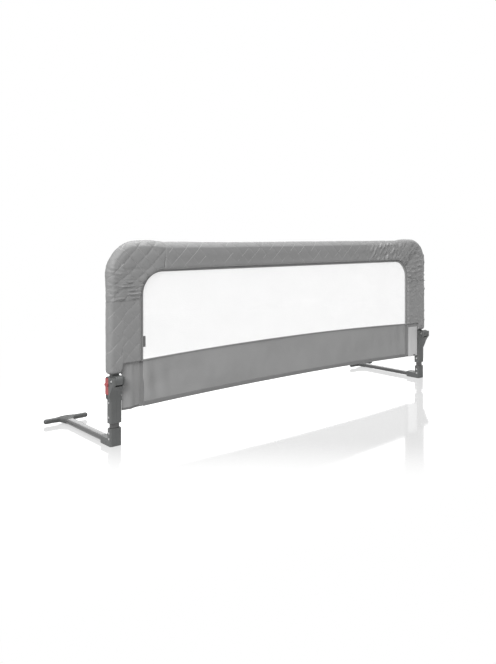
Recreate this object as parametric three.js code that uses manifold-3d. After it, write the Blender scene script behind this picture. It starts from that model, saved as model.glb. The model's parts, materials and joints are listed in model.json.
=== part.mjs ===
// Folding bed guard rail with a quilted frame, a net and two legs that slide under a mattress.
// Millimetres, +Z up. X runs along the rail and +Y points back, under the mattress.
import * as THREE from 'three';
import { mergeVertices } from 'three/addons/utils/BufferGeometryUtils.js';
import Module from 'manifold-3d';

const wasm = await Module();
wasm.setup();

// Overall sizes
const postSpacing = 1447; // between the centres of the two legs
const topTubeHeight = 562; // centre of the top tube above the floor
const frameBend = 78; // centre-line radius of the frame's two bends

// Flat-oval steel tube, used for the frame, the posts and the floor arms
const tubeWide = 30;
const tubeThick = 15;
const tubeWall = 1.2;

// Clearances
const fitGap = 0.3; // between pieces that touch
const slipGap = 0.6; // between the frame tube and its sleeve
const overrun = 4; // how far a cutting shape reaches past what it cuts

// Corner piece between the post and the floor arm
const cornerWide = 37;
const cornerDeep = 22;
const cornerTall = 52;
const cornerReach = 55; // from the post's centre back to the end of the arm socket
const socketTall = 22;
const cornerRound = 6;
const heelRound = 9; // under the rear end of the socket
const armFloorGap = 2.5; // from the floor to the underside of the arm
const webTall = 7.5; // solid web between the arm and the post
const cornerWall = 3.5; // in front of the arm's end

// T-shaped foot at the back of each floor arm
const footAxisBack = 328; // from the post's centre back to the foot bar's axis
const footBarLength = 150;
const footBarWide = 15;
const footBarFloorGap = 5;
const hubDeep = 38;
const hubWide = 34;
const hubTall = 20;
const hubRound = 6;
const hubRearWall = 4;
const hubInnerWall = 4;

// Hinge housing on top of the post; a rise or drop is measured from the pivot's axis
const housingWide = 38;
const housingDeep = 24;
const postShown = 15; // bare post between the corner piece and the housing
const housingRise = 10;
const housingRound = 6;
const bulgeReach = 26; // how far the hinge bulges forward of the housing
const bulgeTaperTopDrop = 8;
const bulgeTaperMidDrop = 32;
const bulgeTaperFootDrop = 60;
const bulgeTaperLean = 2;
const cheekWall = 4.7;
const cheekRound = 5;
const padProud = 5; // outer cheek stands proud of the housing
const padDrop = 58; // where the proud pad begins
const padRamp = 12; // height over which it rises
const backWall = 4.2; // behind the knuckle; the rail rests against it
const bayDrop = 16; // floor of the bay that the knuckle turns in

// Knuckle and pivot
const pivotForward = 24; // from the post's centre forward to the pivot axis
const pivotHeight = 192;
const pivotBolt = 8;
const pivotHead = 12;
const pivotHeadTall = 2;
const kneeRadius = 14; // round front of the knuckle, about the pivot
const kneeTopDrop = 1.3; // from the housing's top down to the knuckle's, ahead of its neck
const neckRise = 30;
const plugDepth = 40; // knuckle's plug inside the frame tube
const plugSlack = 0.3;

// Release slider, lock bolt and spring
const sliderWide = 18;
const sliderCentre = 1; // behind the post's centre
const sliderTall = 51; // down from the top of the housing
const sliderTravel = 10;
const sliderThick = 5;
const sliderSideGap = 0.4;
const sliderSlotSpare = 2; // free channel below the slider at the end of its travel
const ridgeDown = 23; // from the slider's top to the middle of its ridge
const ridgeTall = 11;
const ridgeProud = 3.4;
const tongueTall = 8;
const tongueWide = 8;
const tongueDown = 37; // from the slider's top to the middle of its tongue
const boltWide = 18; // along X
const boltDeep = 13;
const boltTall = 24;
const boltPocket = 6;
const springTall = 19;
const springFloor = 13; // moulding between the post's top and the spring
const springRadius = 4.6;
const springWire = 1.2;
const springCoils = 5;

// Rivets
const rivetShank = 4;
const rivetHead = 7.6;
const rivetHeadTall = 1.5;
const rivetHole = 0.3; // clearance round the shank
const hingeRivetUp = 17; // lower rivet above the housing's lower end
const cornerRivetHigh = 38;
const frameRivet = 4;
const frameRivetRise = 18; // above the lower end of the frame tube

// Frame tube joints
const cornerTubeRun = 80; // straight part of a corner tube after its bend
const jointPlugLength = 120;
const snapButton = 7;
const snapButtonFromEnd = 30;

// Padded sleeve on the frame
const padRadius = 17; // half thickness round the tube
const padOut = 26.5; // from the tube's centre out to the sleeve's outer face, on the uprights
const padUp = 27; // from the tube's centre up to the sleeve's top
const bandIn = 95; // from the post's centre in to the net opening
const bandDown = 62; // from the top tube's centre down to the net opening
const trimWide = 8.5; // folded trim round the opening
const trimThick = 5;
const openingRound = 66; // corner radius of the net opening
const sleeveLift = 11; // from the housing's top up to the sleeve's lower end
const bandLift = 20; // from there up to the lower edge of the sleeve's flat band
const bandFootRun = 8; // width over which the lower edge rises, next to the wing
const cornerSeamIn = 163; // from the post's centre to the seam on the top band
const cornerSeamDown = 143; // from the top tube's centre to the seam on the upright
const cornerPuff = 9; // the corner cover stands this much further out, most where it meets the top
const cornerSwell = 3; // and it is this much thicker to each side
const quiltCell = 51; // diagonal of a quilted diamond
const quiltDepth = 3.2;
const sleeveEndInset = 7; // rounding at the lower end
const sleeveEdgeHalf = 2.6;
const sleeveShoulderHalf = 11.5; // half thickness where the flat band turns in to its edge
const sleeveEdgeRun = 11; // width over which it turns in, on the uprights

// Cloth panels below the net
const panelFoot = 99; // lower edge at the ends
const headBow = 13; // how far the upper edge bows up in the middle, above the band's lower edge
const footBow = 10;
const clothThick = 2.4;
const panelFold = 3; // depth of the panel's slow folds
const foldCount = 5;
const bindingTall = 6;
const hemTall = 13;
const hemThick = 3.6;
const wingOuter = 24; // from the post's centre in to the wing's free edge
const labelSideMargin = 4.5;
const labelEndMargin = 7;
const labelThick = 0.6;

// Net
const netThick = 1;
const netWeb = 38; // closed net between two gaps; the real holes are far finer
const netMargin = 7;
const netColumns = 27;
const netRows = 5;

// How finely round shapes are divided
const ovalDivisions = 3;
const roundDivisions = 2;
const sideDivisions = 4;
const capDivisions = 3;
const bendSteps = 8;
const latheSides = 12;
const boreSides = 16;
const kneeSides = 32;
const coilSteps = 8;
const wireSides = 5;
const panelColumns = 40;
const panelRows = 3;
const bowDivisions = 14;

// Worked out from the sizes above
const halfSpacing = postSpacing / 2;
const housingBottom = cornerTall + postShown;
const housingTop = pivotHeight + housingRise;
const bulgeTaperTop = pivotHeight - bulgeTaperTopDrop;
const bulgeTaperMid = pivotHeight - bulgeTaperMidDrop;
const bulgeTaperFoot = pivotHeight - bulgeTaperFootDrop;
const padFoot = pivotHeight - padDrop;
const bayFloor = pivotHeight - bayDrop;
const neckTop = pivotHeight + neckRise;
const sliderBottom = housingTop - sliderTall;
const ridgeCentre = housingTop - ridgeDown;
const tongueCentre = housingTop - tongueDown;
const boltBottom = bayFloor - boltTall;
const springSeat = boltBottom - springTall;
const postTop = springSeat - springFloor;
const hingeRivetLow = housingBottom + hingeRivetUp;
const hingeRivetHigh = springSeat - springFloor / 2;
const sleeveFoot = housingTop + sleeveLift;
const bandFoot = sleeveFoot + bandLift;
const housingHalf = housingWide / 2;
const housingFront = -housingDeep / 2;
const housingBack = housingDeep / 2;
const bulgeFront = housingFront - bulgeReach;
const cheekInner = housingHalf - cheekWall;
const knuckleHalf = cheekInner - fitGap;
const padFace = housingHalf + padProud;
const cornerHalf = cornerWide / 2;
const cornerFront = -cornerDeep / 2;
const armCentre = armFloorGap + tubeThick / 2;
const armTop = armFloorGap + tubeThick;
const armFront = cornerFront + cornerWall;
const postBottom = armTop + webTall + fitGap;
const cornerRivetLow = armTop + webTall / 2;
const footBarCentre = footBarFloorGap + footBarWide / 2;
const hubBack = footAxisBack + footBarWide / 2 + fitGap + hubRearWall;
const armEnd = footAxisBack - footBarWide / 2 - fitGap - hubInnerWall - fitGap;
const bayBack = housingBack - backWall;
const knuckleBack = bayBack - fitGap;
const backRadius = pivotForward + knuckleBack;
const tubeFoot = neckTop + fitGap;
const bendCentreHeight = topTubeHeight - frameBend;
const bendCentreX = halfSpacing - frameBend;
const cornerTubeEnd = bendCentreX - cornerTubeRun;
const openingHalf = halfSpacing - bandIn;
const openingTop = topTubeHeight - bandDown;
const kneeTop = housingTop - kneeTopDrop;
const frontMost = bulgeFront;
const backMost = hubBack;
const originBack = (frontMost + backMost) / 2;
const bandFootTo = padOut + wingOuter;
const bandFootFrom = bandFootTo - bandFootRun;

// Materials
function finish(color, roughness, metalness) {
  return new THREE.MeshStandardMaterial({ color, roughness, metalness });
}
const darkPlastic = finish(0x616161, 0.5, 0);
const coatedSteel = finish(0x676767, 0.38, 0.3);
const bareSteel = finish(0x9a9a9a, 0.35, 0.9);
const redPlastic = finish(0xb9464b, 0.4, 0);
const quiltCloth = finish(0x8c8c8c, 0.75, 0);
const trimCloth = finish(0x9c9c9c, 0.8, 0);
const panelCloth = finish(0x939393, 0.8, 0);
const darkCloth = finish(0x707070, 0.8, 0);
const netCloth = finish(0xf4f4f4, 0.9, 0);
const labelCloth = finish(0xb4b4b4, 0.8, 0);

// Solids and booleans
function solid(geometry) {
  const bare = geometry.clone();
  bare.deleteAttribute('normal');
  bare.deleteAttribute('uv');
  const merged = mergeVertices(bare);
  const corners = merged.index.array;
  const triangles = [];
  for (let i = 0; i < corners.length; i += 3) {
    const [a, b, c] = [corners[i], corners[i + 1], corners[i + 2]];
    if (a !== b && b !== c && c !== a) triangles.push(a, b, c);
  }
  return new wasm.Manifold(
    new wasm.Mesh({
      numProp: 3,
      vertProperties: new Float32Array(merged.attributes.position.array),
      triVerts: new Uint32Array(triangles),
    }),
  );
}

function toGeometry(body) {
  const mesh = body.getMesh();
  const geometry = new THREE.BufferGeometry();
  geometry.setAttribute('position', new THREE.BufferAttribute(mesh.vertProperties, 3));
  geometry.setIndex(new THREE.BufferAttribute(mesh.triVerts, 1));
  geometry.computeVertexNormals();
  return geometry;
}

function mirrored(geometry) {
  const copy = geometry.clone();
  copy.scale(-1, 1, 1);
  const corners = copy.index.array;
  for (let i = 0; i < corners.length; i += 3) {
    const kept = corners[i];
    corners[i] = corners[i + 1];
    corners[i + 1] = kept;
  }
  copy.computeVertexNormals();
  return copy;
}

// Outlines
function roundedRect(lowX, highX, lowY, highY, radius) {
  const quarter = Math.PI / 2;
  const shape = new THREE.Shape();
  shape.absarc(highX - radius, lowY + radius, radius, -quarter, 0);
  shape.absarc(highX - radius, highY - radius, radius, 0, quarter);
  shape.absarc(lowX + radius, highY - radius, radius, quarter, Math.PI);
  shape.absarc(lowX + radius, lowY + radius, radius, Math.PI, Math.PI + quarter);
  shape.closePath();
  return shape;
}

// A flat oval, wide along its first axis, grown by spare all round
function oval(wide, thick, spare = 0) {
  const radius = thick / 2 + spare;
  const side = (wide - thick) / 2;
  const shape = new THREE.Shape();
  shape.absarc(side, 0, radius, -Math.PI / 2, Math.PI / 2);
  shape.absarc(-side, 0, radius, Math.PI / 2, (3 * Math.PI) / 2);
  shape.closePath();
  return shape;
}

function tubeSection() {
  const section = oval(tubeWide, tubeThick);
  section.holes.push(oval(tubeWide, tubeThick, -tubeWall));
  return section;
}

// Prisms along each axis; an outline's two axes follow the prism's other two in order
function alongZ(shape, from, to, curveSegments = roundDivisions) {
  const geometry = new THREE.ExtrudeGeometry(shape, {
    depth: to - from,
    bevelEnabled: false,
    curveSegments,
  });
  return geometry.translate(0, 0, from);
}

function alongX(shape, from, to, curveSegments = roundDivisions) {
  const geometry = new THREE.ExtrudeGeometry(shape, {
    depth: to - from,
    bevelEnabled: false,
    curveSegments,
  });
  const turn = new THREE.Matrix4().makeBasis(
    new THREE.Vector3(0, 1, 0),
    new THREE.Vector3(0, 0, 1),
    new THREE.Vector3(1, 0, 0),
  );
  return geometry.applyMatrix4(turn).translate(from, 0, 0);
}

function alongY(shape, from, to, curveSegments = roundDivisions) {
  const geometry = new THREE.ExtrudeGeometry(shape, {
    depth: to - from,
    bevelEnabled: false,
    curveSegments,
  });
  const turn = new THREE.Matrix4().makeBasis(
    new THREE.Vector3(1, 0, 0),
    new THREE.Vector3(0, 0, 1),
    new THREE.Vector3(0, -1, 0),
  );
  return geometry.applyMatrix4(turn).translate(0, to, 0);
}

function block(lowX, highX, lowY, highY, lowZ, highZ) {
  const geometry = new THREE.BoxGeometry(highX - lowX, highY - lowY, highZ - lowZ);
  return solid(
    geometry.translate((lowX + highX) / 2, (lowY + highY) / 2, (lowZ + highZ) / 2),
  );
}

function rodAlongX(radius, from, to, y, z, sides = latheSides) {
  const geometry = new THREE.CylinderGeometry(radius, radius, to - from, sides);
  geometry.rotateZ(-Math.PI / 2);
  return solid(geometry.translate((from + to) / 2, y, z));
}

// A turned piece whose profile of radius and distance runs along X
function turnedAlongX(profile, y, z) {
  const points = profile.map(([radius, along]) => new THREE.Vector2(radius, along));
  const geometry = new THREE.LatheGeometry(points, latheSides);
  geometry.rotateZ(-Math.PI / 2);
  return toGeometry(solid(geometry.translate(0, y, z)));
}

// The two halves of a moulding, parted on the leg's middle plane
function outerHalf(body) {
  const far = housingWide + padProud;
  return toGeometry(body.intersect(block(fitGap / 2, far, -far * 2, far * 2, -far, housingTop + far)));
}

function innerHalf(body) {
  const far = housingWide + padProud;
  return toGeometry(body.intersect(block(-far, -fitGap / 2, -far * 2, far * 2, -far, housingTop + far)));
}

// Leg pieces, drawn for the right leg with x = 0 at the post and +x outward

function cornerBody() {
  const column = solid(
    alongZ(roundedRect(-cornerHalf, cornerHalf, cornerFront, -cornerFront, cornerRound), 0, cornerTall),
  );
  const plan = solid(
    alongZ(roundedRect(-cornerHalf, cornerHalf, cornerFront, cornerReach, cornerRound), 0, socketTall),
  );
  const side = new THREE.Shape();
  side.moveTo(cornerFront - overrun, 0);
  side.lineTo(cornerReach - heelRound, 0);
  side.absarc(cornerReach - heelRound, heelRound, heelRound, -Math.PI / 2, 0);
  side.lineTo(cornerReach, socketTall);
  side.lineTo(cornerFront - overrun, socketTall);
  side.closePath();
  const heel = solid(alongX(side, -cornerHalf - overrun, cornerHalf + overrun, sideDivisions));
  const armHole = solid(
    alongY(oval(tubeWide, tubeThick, fitGap), armFront - fitGap, cornerReach + overrun, ovalDivisions)
      .translate(0, 0, armCentre),
  );
  const postHole = solid(
    alongZ(oval(tubeWide, tubeThick, fitGap), postBottom - fitGap, cornerTall + overrun, ovalDivisions),
  );
  return column
    .add(plan.intersect(heel))
    .subtract(armHole)
    .subtract(postHole)
    .subtract(rivetPath(cornerHalf, 0, cornerRivetLow))
    .subtract(rivetPath(cornerHalf, 0, cornerRivetHigh));
}

// Hole for a rivet through a moulding, with a recess for each head
function rivetPath(half, y, z) {
  const recess = rivetHeadTall + fitGap;
  return rodAlongX(rivetShank / 2 + rivetHole, -half - overrun, half + overrun, y, z)
    .add(rodAlongX(rivetHead / 2 + fitGap, half - recess, half + overrun, y, z))
    .add(rodAlongX(rivetHead / 2 + fitGap, -half - overrun, -half + recess, y, z));
}

function rivet(half, y, z) {
  const rim = rivetHeadTall / 2;
  const inner = half - rivetHeadTall;
  return turnedAlongX(
    [
      [0, -half],
      [rivetHead / 2 - rim, -half],
      [rivetHead / 2, -half + rim],
      [rivetHead / 2, -inner],
      [rivetShank / 2, -inner],
      [rivetShank / 2, inner],
      [rivetHead / 2, inner],
      [rivetHead / 2, half - rim],
      [rivetHead / 2 - rim, half],
      [0, half],
    ],
    y,
    z,
  );
}

function postTube() {
  const tube = solid(alongZ(tubeSection(), postBottom, postTop, ovalDivisions));
  const hole = rivetShank / 2 + rivetHole;
  return toGeometry(
    tube
      .subtract(rodAlongX(hole, -tubeWide, tubeWide, 0, cornerRivetHigh))
      .subtract(rodAlongX(hole, -tubeWide, tubeWide, 0, hingeRivetLow)),
  );
}

function floorArm() {
  const tube = alongY(tubeSection(), armFront, armEnd, ovalDivisions);
  return toGeometry(solid(tube.translate(0, 0, armCentre)));
}

function footHub() {
  const body = solid(
    alongX(
      roundedRect(hubBack - hubDeep, hubBack, 0, hubTall, hubRound),
      -hubWide / 2,
      hubWide / 2,
      sideDivisions,
    ),
  );
  const armHole = solid(
    alongY(oval(tubeWide, tubeThick, fitGap), hubBack - hubDeep - overrun, armEnd + fitGap, ovalDivisions)
      .translate(0, 0, armCentre),
  );
  const barHole = rodAlongX(
    footBarWide / 2 + fitGap,
    -cornerWide,
    cornerWide,
    footAxisBack,
    footBarCentre,
    boreSides,
  );
  return toGeometry(body.subtract(armHole).subtract(barHole));
}

function footBar() {
  const radius = footBarWide / 2;
  const straight = footBarLength / 2 - radius;
  const geometry = new THREE.CapsuleGeometry(radius, straight * 2, capDivisions, boreSides);
  geometry.rotateZ(-Math.PI / 2);
  return toGeometry(solid(geometry.translate(0, footAxisBack, footBarCentre)));
}

// Side outline of the upper housing: a bulge that leans forward to carry the pivot
function bulgeOutline() {
  const side = new THREE.Shape();
  side.moveTo(housingBack, bulgeTaperFoot);
  side.lineTo(housingBack, housingTop - cheekRound);
  side.absarc(housingBack - cheekRound, housingTop - cheekRound, cheekRound, 0, Math.PI / 2);
  side.absarc(bulgeFront + cheekRound, housingTop - cheekRound, cheekRound, Math.PI / 2, Math.PI);
  side.lineTo(bulgeFront, bulgeTaperTop);
  side.quadraticCurveTo(housingFront - bulgeTaperLean, bulgeTaperMid, housingFront, bulgeTaperFoot);
  side.closePath();
  return side;
}

function padOutline() {
  const pad = new THREE.Shape();
  pad.moveTo(cheekInner, padFoot);
  pad.lineTo(housingHalf, padFoot);
  pad.lineTo(padFace, padFoot + padRamp);
  pad.lineTo(padFace, housingTop);
  pad.lineTo(cheekInner, housingTop);
  pad.closePath();
  return pad;
}

// The space that the knuckle turns in, between the cheeks and open to the front and top
function knuckleBay() {
  const bay = new THREE.Shape();
  bay.moveTo(bulgeFront - overrun, bayFloor);
  bay.lineTo(bayBack, bayFloor);
  bay.lineTo(bayBack, housingTop + overrun);
  bay.lineTo(bulgeFront - overrun, housingTop + overrun);
  bay.closePath();
  return solid(alongX(bay, -cheekInner, cheekInner)).add(
    rodAlongX(kneeRadius + fitGap, -cheekInner, cheekInner, -pivotForward, pivotHeight, kneeSides),
  );
}

function hingeBody() {
  const column = solid(
    alongZ(
      roundedRect(-housingHalf, housingHalf, housingFront, housingBack, housingRound),
      housingBottom,
      bayFloor,
    ),
  );
  const plan = solid(
    alongZ(
      roundedRect(-housingHalf, housingHalf, bulgeFront, housingBack, housingRound),
      bulgeTaperFoot,
      housingTop,
    ),
  );
  const bulge = solid(alongX(bulgeOutline(), -padFace, padFace, sideDivisions));
  const padPlan = solid(
    alongZ(roundedRect(0, padFace, bulgeFront, housingBack, housingRound), padFoot, housingTop),
  );
  const pad = solid(alongY(padOutline(), bulgeFront, housingBack)).intersect(padPlan).intersect(bulge);
  const channelWide = sliderWide / 2 + sliderSideGap;
  const channel = block(
    housingHalf,
    padFace + overrun,
    sliderCentre - channelWide,
    sliderCentre + channelWide,
    sliderBottom - sliderTravel - sliderSlotSpare,
    housingTop + overrun,
  );
  const tongueHalf = tongueTall / 2 + fitGap;
  const tongueSlot = block(
    0,
    padFace,
    sliderCentre - tongueWide / 2 - fitGap,
    sliderCentre + tongueWide / 2 + fitGap,
    tongueCentre - tongueHalf - sliderTravel,
    tongueCentre + tongueHalf,
  );
  const boltHalf = boltDeep / 2 + fitGap;
  const boltChannel = block(
    -boltWide / 2 - fitGap,
    boltWide / 2 + fitGap,
    sliderCentre - boltHalf,
    sliderCentre + boltHalf,
    springSeat,
    bayFloor + overrun,
  );
  const postHole = solid(
    alongZ(oval(tubeWide, tubeThick, fitGap), housingBottom - overrun, postTop + fitGap, ovalDivisions),
  );
  return column
    .add(plan.intersect(bulge))
    .add(pad)
    .subtract(knuckleBay())
    .subtract(channel)
    .subtract(tongueSlot)
    .subtract(boltChannel)
    .subtract(postHole)
    .subtract(rivetPath(housingHalf, 0, hingeRivetLow))
    .subtract(rivetPath(housingHalf, 0, hingeRivetHigh))
    .subtract(pivotPath());
}

function pivotPath() {
  const recess = pivotHeadTall + fitGap;
  const head = pivotHead / 2 + fitGap;
  return rodAlongX(pivotBolt / 2 + fitGap, -padFace, padFace, -pivotForward, pivotHeight)
    .add(rodAlongX(head, padFace - recess, padFace + overrun, -pivotForward, pivotHeight))
    .add(rodAlongX(head, -housingHalf - overrun, -housingHalf + recess, -pivotForward, pivotHeight));
}

function pivotPin() {
  const shank = pivotBolt / 2;
  const rim = pivotHeadTall / 2;
  const seat = padFace - pivotHeadTall;
  return turnedAlongX(
    [
      [0, -housingHalf + pivotHeadTall + fitGap],
      [shank, -housingHalf + pivotHeadTall + fitGap],
      [shank, seat],
      [pivotHead / 2, seat],
      [pivotHead / 2, padFace - rim],
      [pivotHead / 2 - rim, padFace],
      [0, padFace],
    ],
    -pivotForward,
    pivotHeight,
  );
}

function pivotCap() {
  const rim = pivotHeadTall / 2;
  return turnedAlongX(
    [
      [0, -housingHalf],
      [pivotHead / 2 - rim, -housingHalf],
      [pivotHead / 2, -housingHalf + rim],
      [pivotHead / 2, -housingHalf + pivotHeadTall],
      [0, -housingHalf + pivotHeadTall],
    ],
    -pivotForward,
    pivotHeight,
  );
}

// Red thumb slider on the outer cheek, with a tongue through the wall to the lock bolt
function releaseSlider() {
  const plate = new THREE.Shape();
  const face = housingHalf + fitGap + sliderThick;
  plate.moveTo(housingHalf + fitGap, sliderBottom);
  plate.lineTo(face, sliderBottom);
  plate.lineTo(face, ridgeCentre - ridgeTall / 2);
  plate.quadraticCurveTo(face + ridgeProud * 2, ridgeCentre, face, ridgeCentre + ridgeTall / 2);
  plate.lineTo(face, housingTop);
  plate.lineTo(housingHalf + fitGap, housingTop);
  plate.closePath();
  const body = solid(
    alongY(plate, sliderCentre - sliderWide / 2, sliderCentre + sliderWide / 2, sideDivisions),
  );
  const tongue = block(
    boltWide / 2 - boltPocket + fitGap,
    face - sliderThick / 2,
    sliderCentre - tongueWide / 2,
    sliderCentre + tongueWide / 2,
    tongueCentre - tongueTall / 2,
    tongueCentre + tongueTall / 2,
  );
  return toGeometry(body.add(tongue));
}

function lockBolt() {
  const bolt = block(
    -boltWide / 2,
    boltWide / 2,
    sliderCentre - boltDeep / 2,
    sliderCentre + boltDeep / 2,
    boltBottom,
    bayFloor,
  );
  const pocket = block(
    boltWide / 2 - boltPocket,
    boltWide,
    sliderCentre - tongueWide / 2 - fitGap,
    sliderCentre + tongueWide / 2 + fitGap,
    tongueCentre - tongueTall / 2 - fitGap,
    tongueCentre + tongueTall / 2 + fitGap,
  );
  return toGeometry(bolt.subtract(pocket));
}

class Helix extends THREE.Curve {
  constructor(radius, low, high, turns) {
    super();
    this.radius = radius;
    this.low = low;
    this.high = high;
    this.turns = turns;
  }

  getPoint(t, target = new THREE.Vector3()) {
    const angle = 2 * Math.PI * this.turns * t;
    const height = this.low + (this.high - this.low) * t;
    return target.set(
      this.radius * Math.cos(angle),
      sliderCentre + this.radius * Math.sin(angle),
      height,
    );
  }
}

function latchSpring() {
  const half = springWire / 2;
  const section = new THREE.Shape();
  for (let i = 0; i < wireSides; i += 1) {
    const angle = (2 * Math.PI * i) / wireSides;
    section[i === 0 ? 'moveTo' : 'lineTo'](half * Math.cos(angle), half * Math.sin(angle));
  }
  section.closePath();
  const path = new Helix(springRadius, springSeat + half + fitGap, boltBottom - half - fitGap, springCoils);
  const geometry = new THREE.ExtrudeGeometry(section, {
    steps: coilSteps * springCoils,
    extrudePath: path,
    bevelEnabled: false,
  });
  return toGeometry(solid(geometry));
}

// Knuckle: it turns on the pivot between the cheeks and carries the frame tube on a plug
function hingeKnuckle() {
  const blockBack = -pivotForward + backRadius;
  const drop = pivotHeight - bayFloor - fitGap;
  const side = new THREE.Shape();
  const backAngle = Math.asin(drop / backRadius);
  side.moveTo(-pivotForward, pivotHeight - drop);
  side.absarc(-pivotForward, pivotHeight, backRadius, -backAngle, 0);
  side.lineTo(blockBack, housingTop + fitGap * 2);
  side.lineTo(blockBack - tubeThick, housingTop + fitGap * 2);
  side.lineTo(blockBack - tubeThick, kneeTop);
  side.lineTo(-pivotForward, kneeTop);
  side.closePath();
  const middle = knuckleBack - tubeThick / 2;
  const neck = alongZ(oval(tubeWide, tubeThick), housingTop + fitGap, neckTop, ovalDivisions);
  const plug = alongZ(
    oval(tubeWide - 2 * tubeWall, tubeThick - 2 * tubeWall, -plugSlack),
    neckTop - overrun,
    neckTop + plugDepth,
    ovalDivisions,
  );
  const rivetWay = new THREE.CylinderGeometry(
    frameRivet / 2 + rivetHole,
    frameRivet / 2 + rivetHole,
    tubeWide,
    latheSides,
  ).translate(0, 0, tubeFoot + frameRivetRise);
  return toGeometry(
    solid(alongX(side, -knuckleHalf, knuckleHalf, sideDivisions))
      .add(rodAlongX(kneeRadius, -knuckleHalf, knuckleHalf, -pivotForward, pivotHeight, kneeSides))
      .add(solid(neck.translate(0, middle, 0)))
      .add(solid(plug))
      .subtract(solid(rivetWay))
      .subtract(
        rodAlongX(pivotBolt / 2 + fitGap, -housingWide, housingWide, -pivotForward, pivotHeight),
      ),
  );
}

// Frame tubes, in the rail's own place

// The centre line of a frame corner: up, round the bend and in along the top. Its stations are
// the ends of the straights and even steps round the bend, so a tube and its sleeve agree.
class FramePath extends THREE.Curve {
  constructor(sideSign, footHeight, endX) {
    super();
    const up = new THREE.Vector3(0, 0, 1);
    const inward = new THREE.Vector3(-sideSign, 0, 0);
    const postX = sideSign * halfSpacing;
    this.stations = [{ point: new THREE.Vector3(postX, 0, footHeight), tangent: up }];
    for (let i = 0; i <= bendSteps; i += 1) {
      const angle = ((Math.PI / 2) * i) / bendSteps;
      const out = sideSign * Math.cos(angle);
      this.stations.push({
        point: new THREE.Vector3(
          sideSign * bendCentreX + frameBend * out,
          0,
          bendCentreHeight + frameBend * Math.sin(angle),
        ),
        tangent: new THREE.Vector3(-sideSign * Math.sin(angle), 0, Math.cos(angle)),
      });
    }
    this.stations.push({
      point: new THREE.Vector3(sideSign * endX, 0, topTubeHeight),
      tangent: inward,
    });
  }

  get steps() {
    return this.stations.length - 1;
  }

  getPoint(t, target = new THREE.Vector3()) {
    const at = Math.min(Math.floor(t * this.steps), this.steps - 1);
    const share = t * this.steps - at;
    return target.lerpVectors(this.stations[at].point, this.stations[at + 1].point, share);
  }

  getTangent(t, target = new THREE.Vector3()) {
    return target.copy(this.stations[Math.round(t * this.steps)].tangent);
  }

  getUtoTmapping(u) {
    return u;
  }
}

// The extrusion's own frame turns the outline, so its wide side is laid in the frame's plane
function sweepOval(path, spare, hollow) {
  const upright = (shape) => {
    const points = shape.getPoints(ovalDivisions).map((p) => new THREE.Vector2(p.y, p.x));
    return points.reverse();
  };
  const section = new THREE.Shape(upright(oval(tubeWide, tubeThick, spare)));
  if (hollow) section.holes.push(new THREE.Path(upright(oval(tubeWide, tubeThick, -tubeWall))));
  return solid(
    new THREE.ExtrudeGeometry(section, {
      steps: path.steps,
      extrudePath: path,
      bevelEnabled: false,
    }),
  );
}

function holeAlongY(radius, x, z) {
  const geometry = new THREE.CylinderGeometry(radius, radius, tubeWide, latheSides);
  return solid(geometry.translate(x, 0, z));
}

function cornerTube(sideSign) {
  const buttonX = sideSign * (cornerTubeEnd + snapButtonFromEnd);
  return toGeometry(
    sweepOval(new FramePath(sideSign, tubeFoot, cornerTubeEnd), 0, true)
      .subtract(holeAlongY(frameRivet / 2 + rivetHole, sideSign * halfSpacing, tubeFoot + frameRivetRise))
      .subtract(
        solid(
          new THREE.CylinderGeometry(
            snapButton / 2 + fitGap,
            snapButton / 2 + fitGap,
            tubeThick,
            latheSides,
          ).translate(buttonX, -tubeThick / 2, topTubeHeight),
        ),
      ),
  );
}

// A straight piece of tube section along X: the outline's first axis is Y, its second is Z
function barAlongX(shape, from, to) {
  const points = shape.getPoints(ovalDivisions).map((p) => new THREE.Vector2(-p.y, p.x));
  const turned = new THREE.Shape(points);
  shape.holes.forEach((hole) => {
    turned.holes.push(new THREE.Path(hole.getPoints(ovalDivisions).map((p) => new THREE.Vector2(-p.y, p.x))));
  });
  return alongX(turned, from, to).translate(0, 0, topTubeHeight);
}

function topTube() {
  return toGeometry(solid(barAlongX(tubeSection(), -cornerTubeEnd + fitGap, cornerTubeEnd - fitGap)));
}

function jointPlug(sideSign) {
  const section = oval(tubeWide - 2 * tubeWall, tubeThick - 2 * tubeWall, -plugSlack);
  const middle = sideSign * cornerTubeEnd;
  const buttonX = sideSign * (cornerTubeEnd + snapButtonFromEnd);
  const pocket = new THREE.CylinderGeometry(
    snapButton / 2 + fitGap,
    snapButton / 2 + fitGap,
    tubeThick,
    latheSides,
  ).translate(buttonX, -tubeThick / 2 - fitGap, topTubeHeight);
  const half = jointPlugLength / 2;
  return toGeometry(solid(barAlongX(section, middle - half, middle + half)).subtract(solid(pocket)));
}

function snapButtonPin(sideSign) {
  const buttonX = sideSign * (cornerTubeEnd + snapButtonFromEnd);
  const tall = tubeThick / 2 - fitGap;
  const pin = new THREE.CylinderGeometry(snapButton / 2, snapButton / 2, tall, latheSides);
  return toGeometry(solid(pin.translate(buttonX, -tubeThick / 2 + tall / 2, topTubeHeight)));
}

function frameRivetPin() {
  const pin = new THREE.CylinderGeometry(frameRivet / 2, frameRivet / 2, tubeThick, latheSides);
  return toGeometry(solid(pin.translate(0, 0, tubeFoot + frameRivetRise)));
}

// Padded sleeve
// A section runs from the outer face in to the trim. Its half thickness is round at the outer
// face, full over the tube, nearly flat as far as its shoulder and thin at the edge.

// Where the flat band's shoulder is, in from the outer face
function shoulderDepth(width) {
  return width - (sleeveEdgeRun * width) / sideWidth;
}

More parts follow.
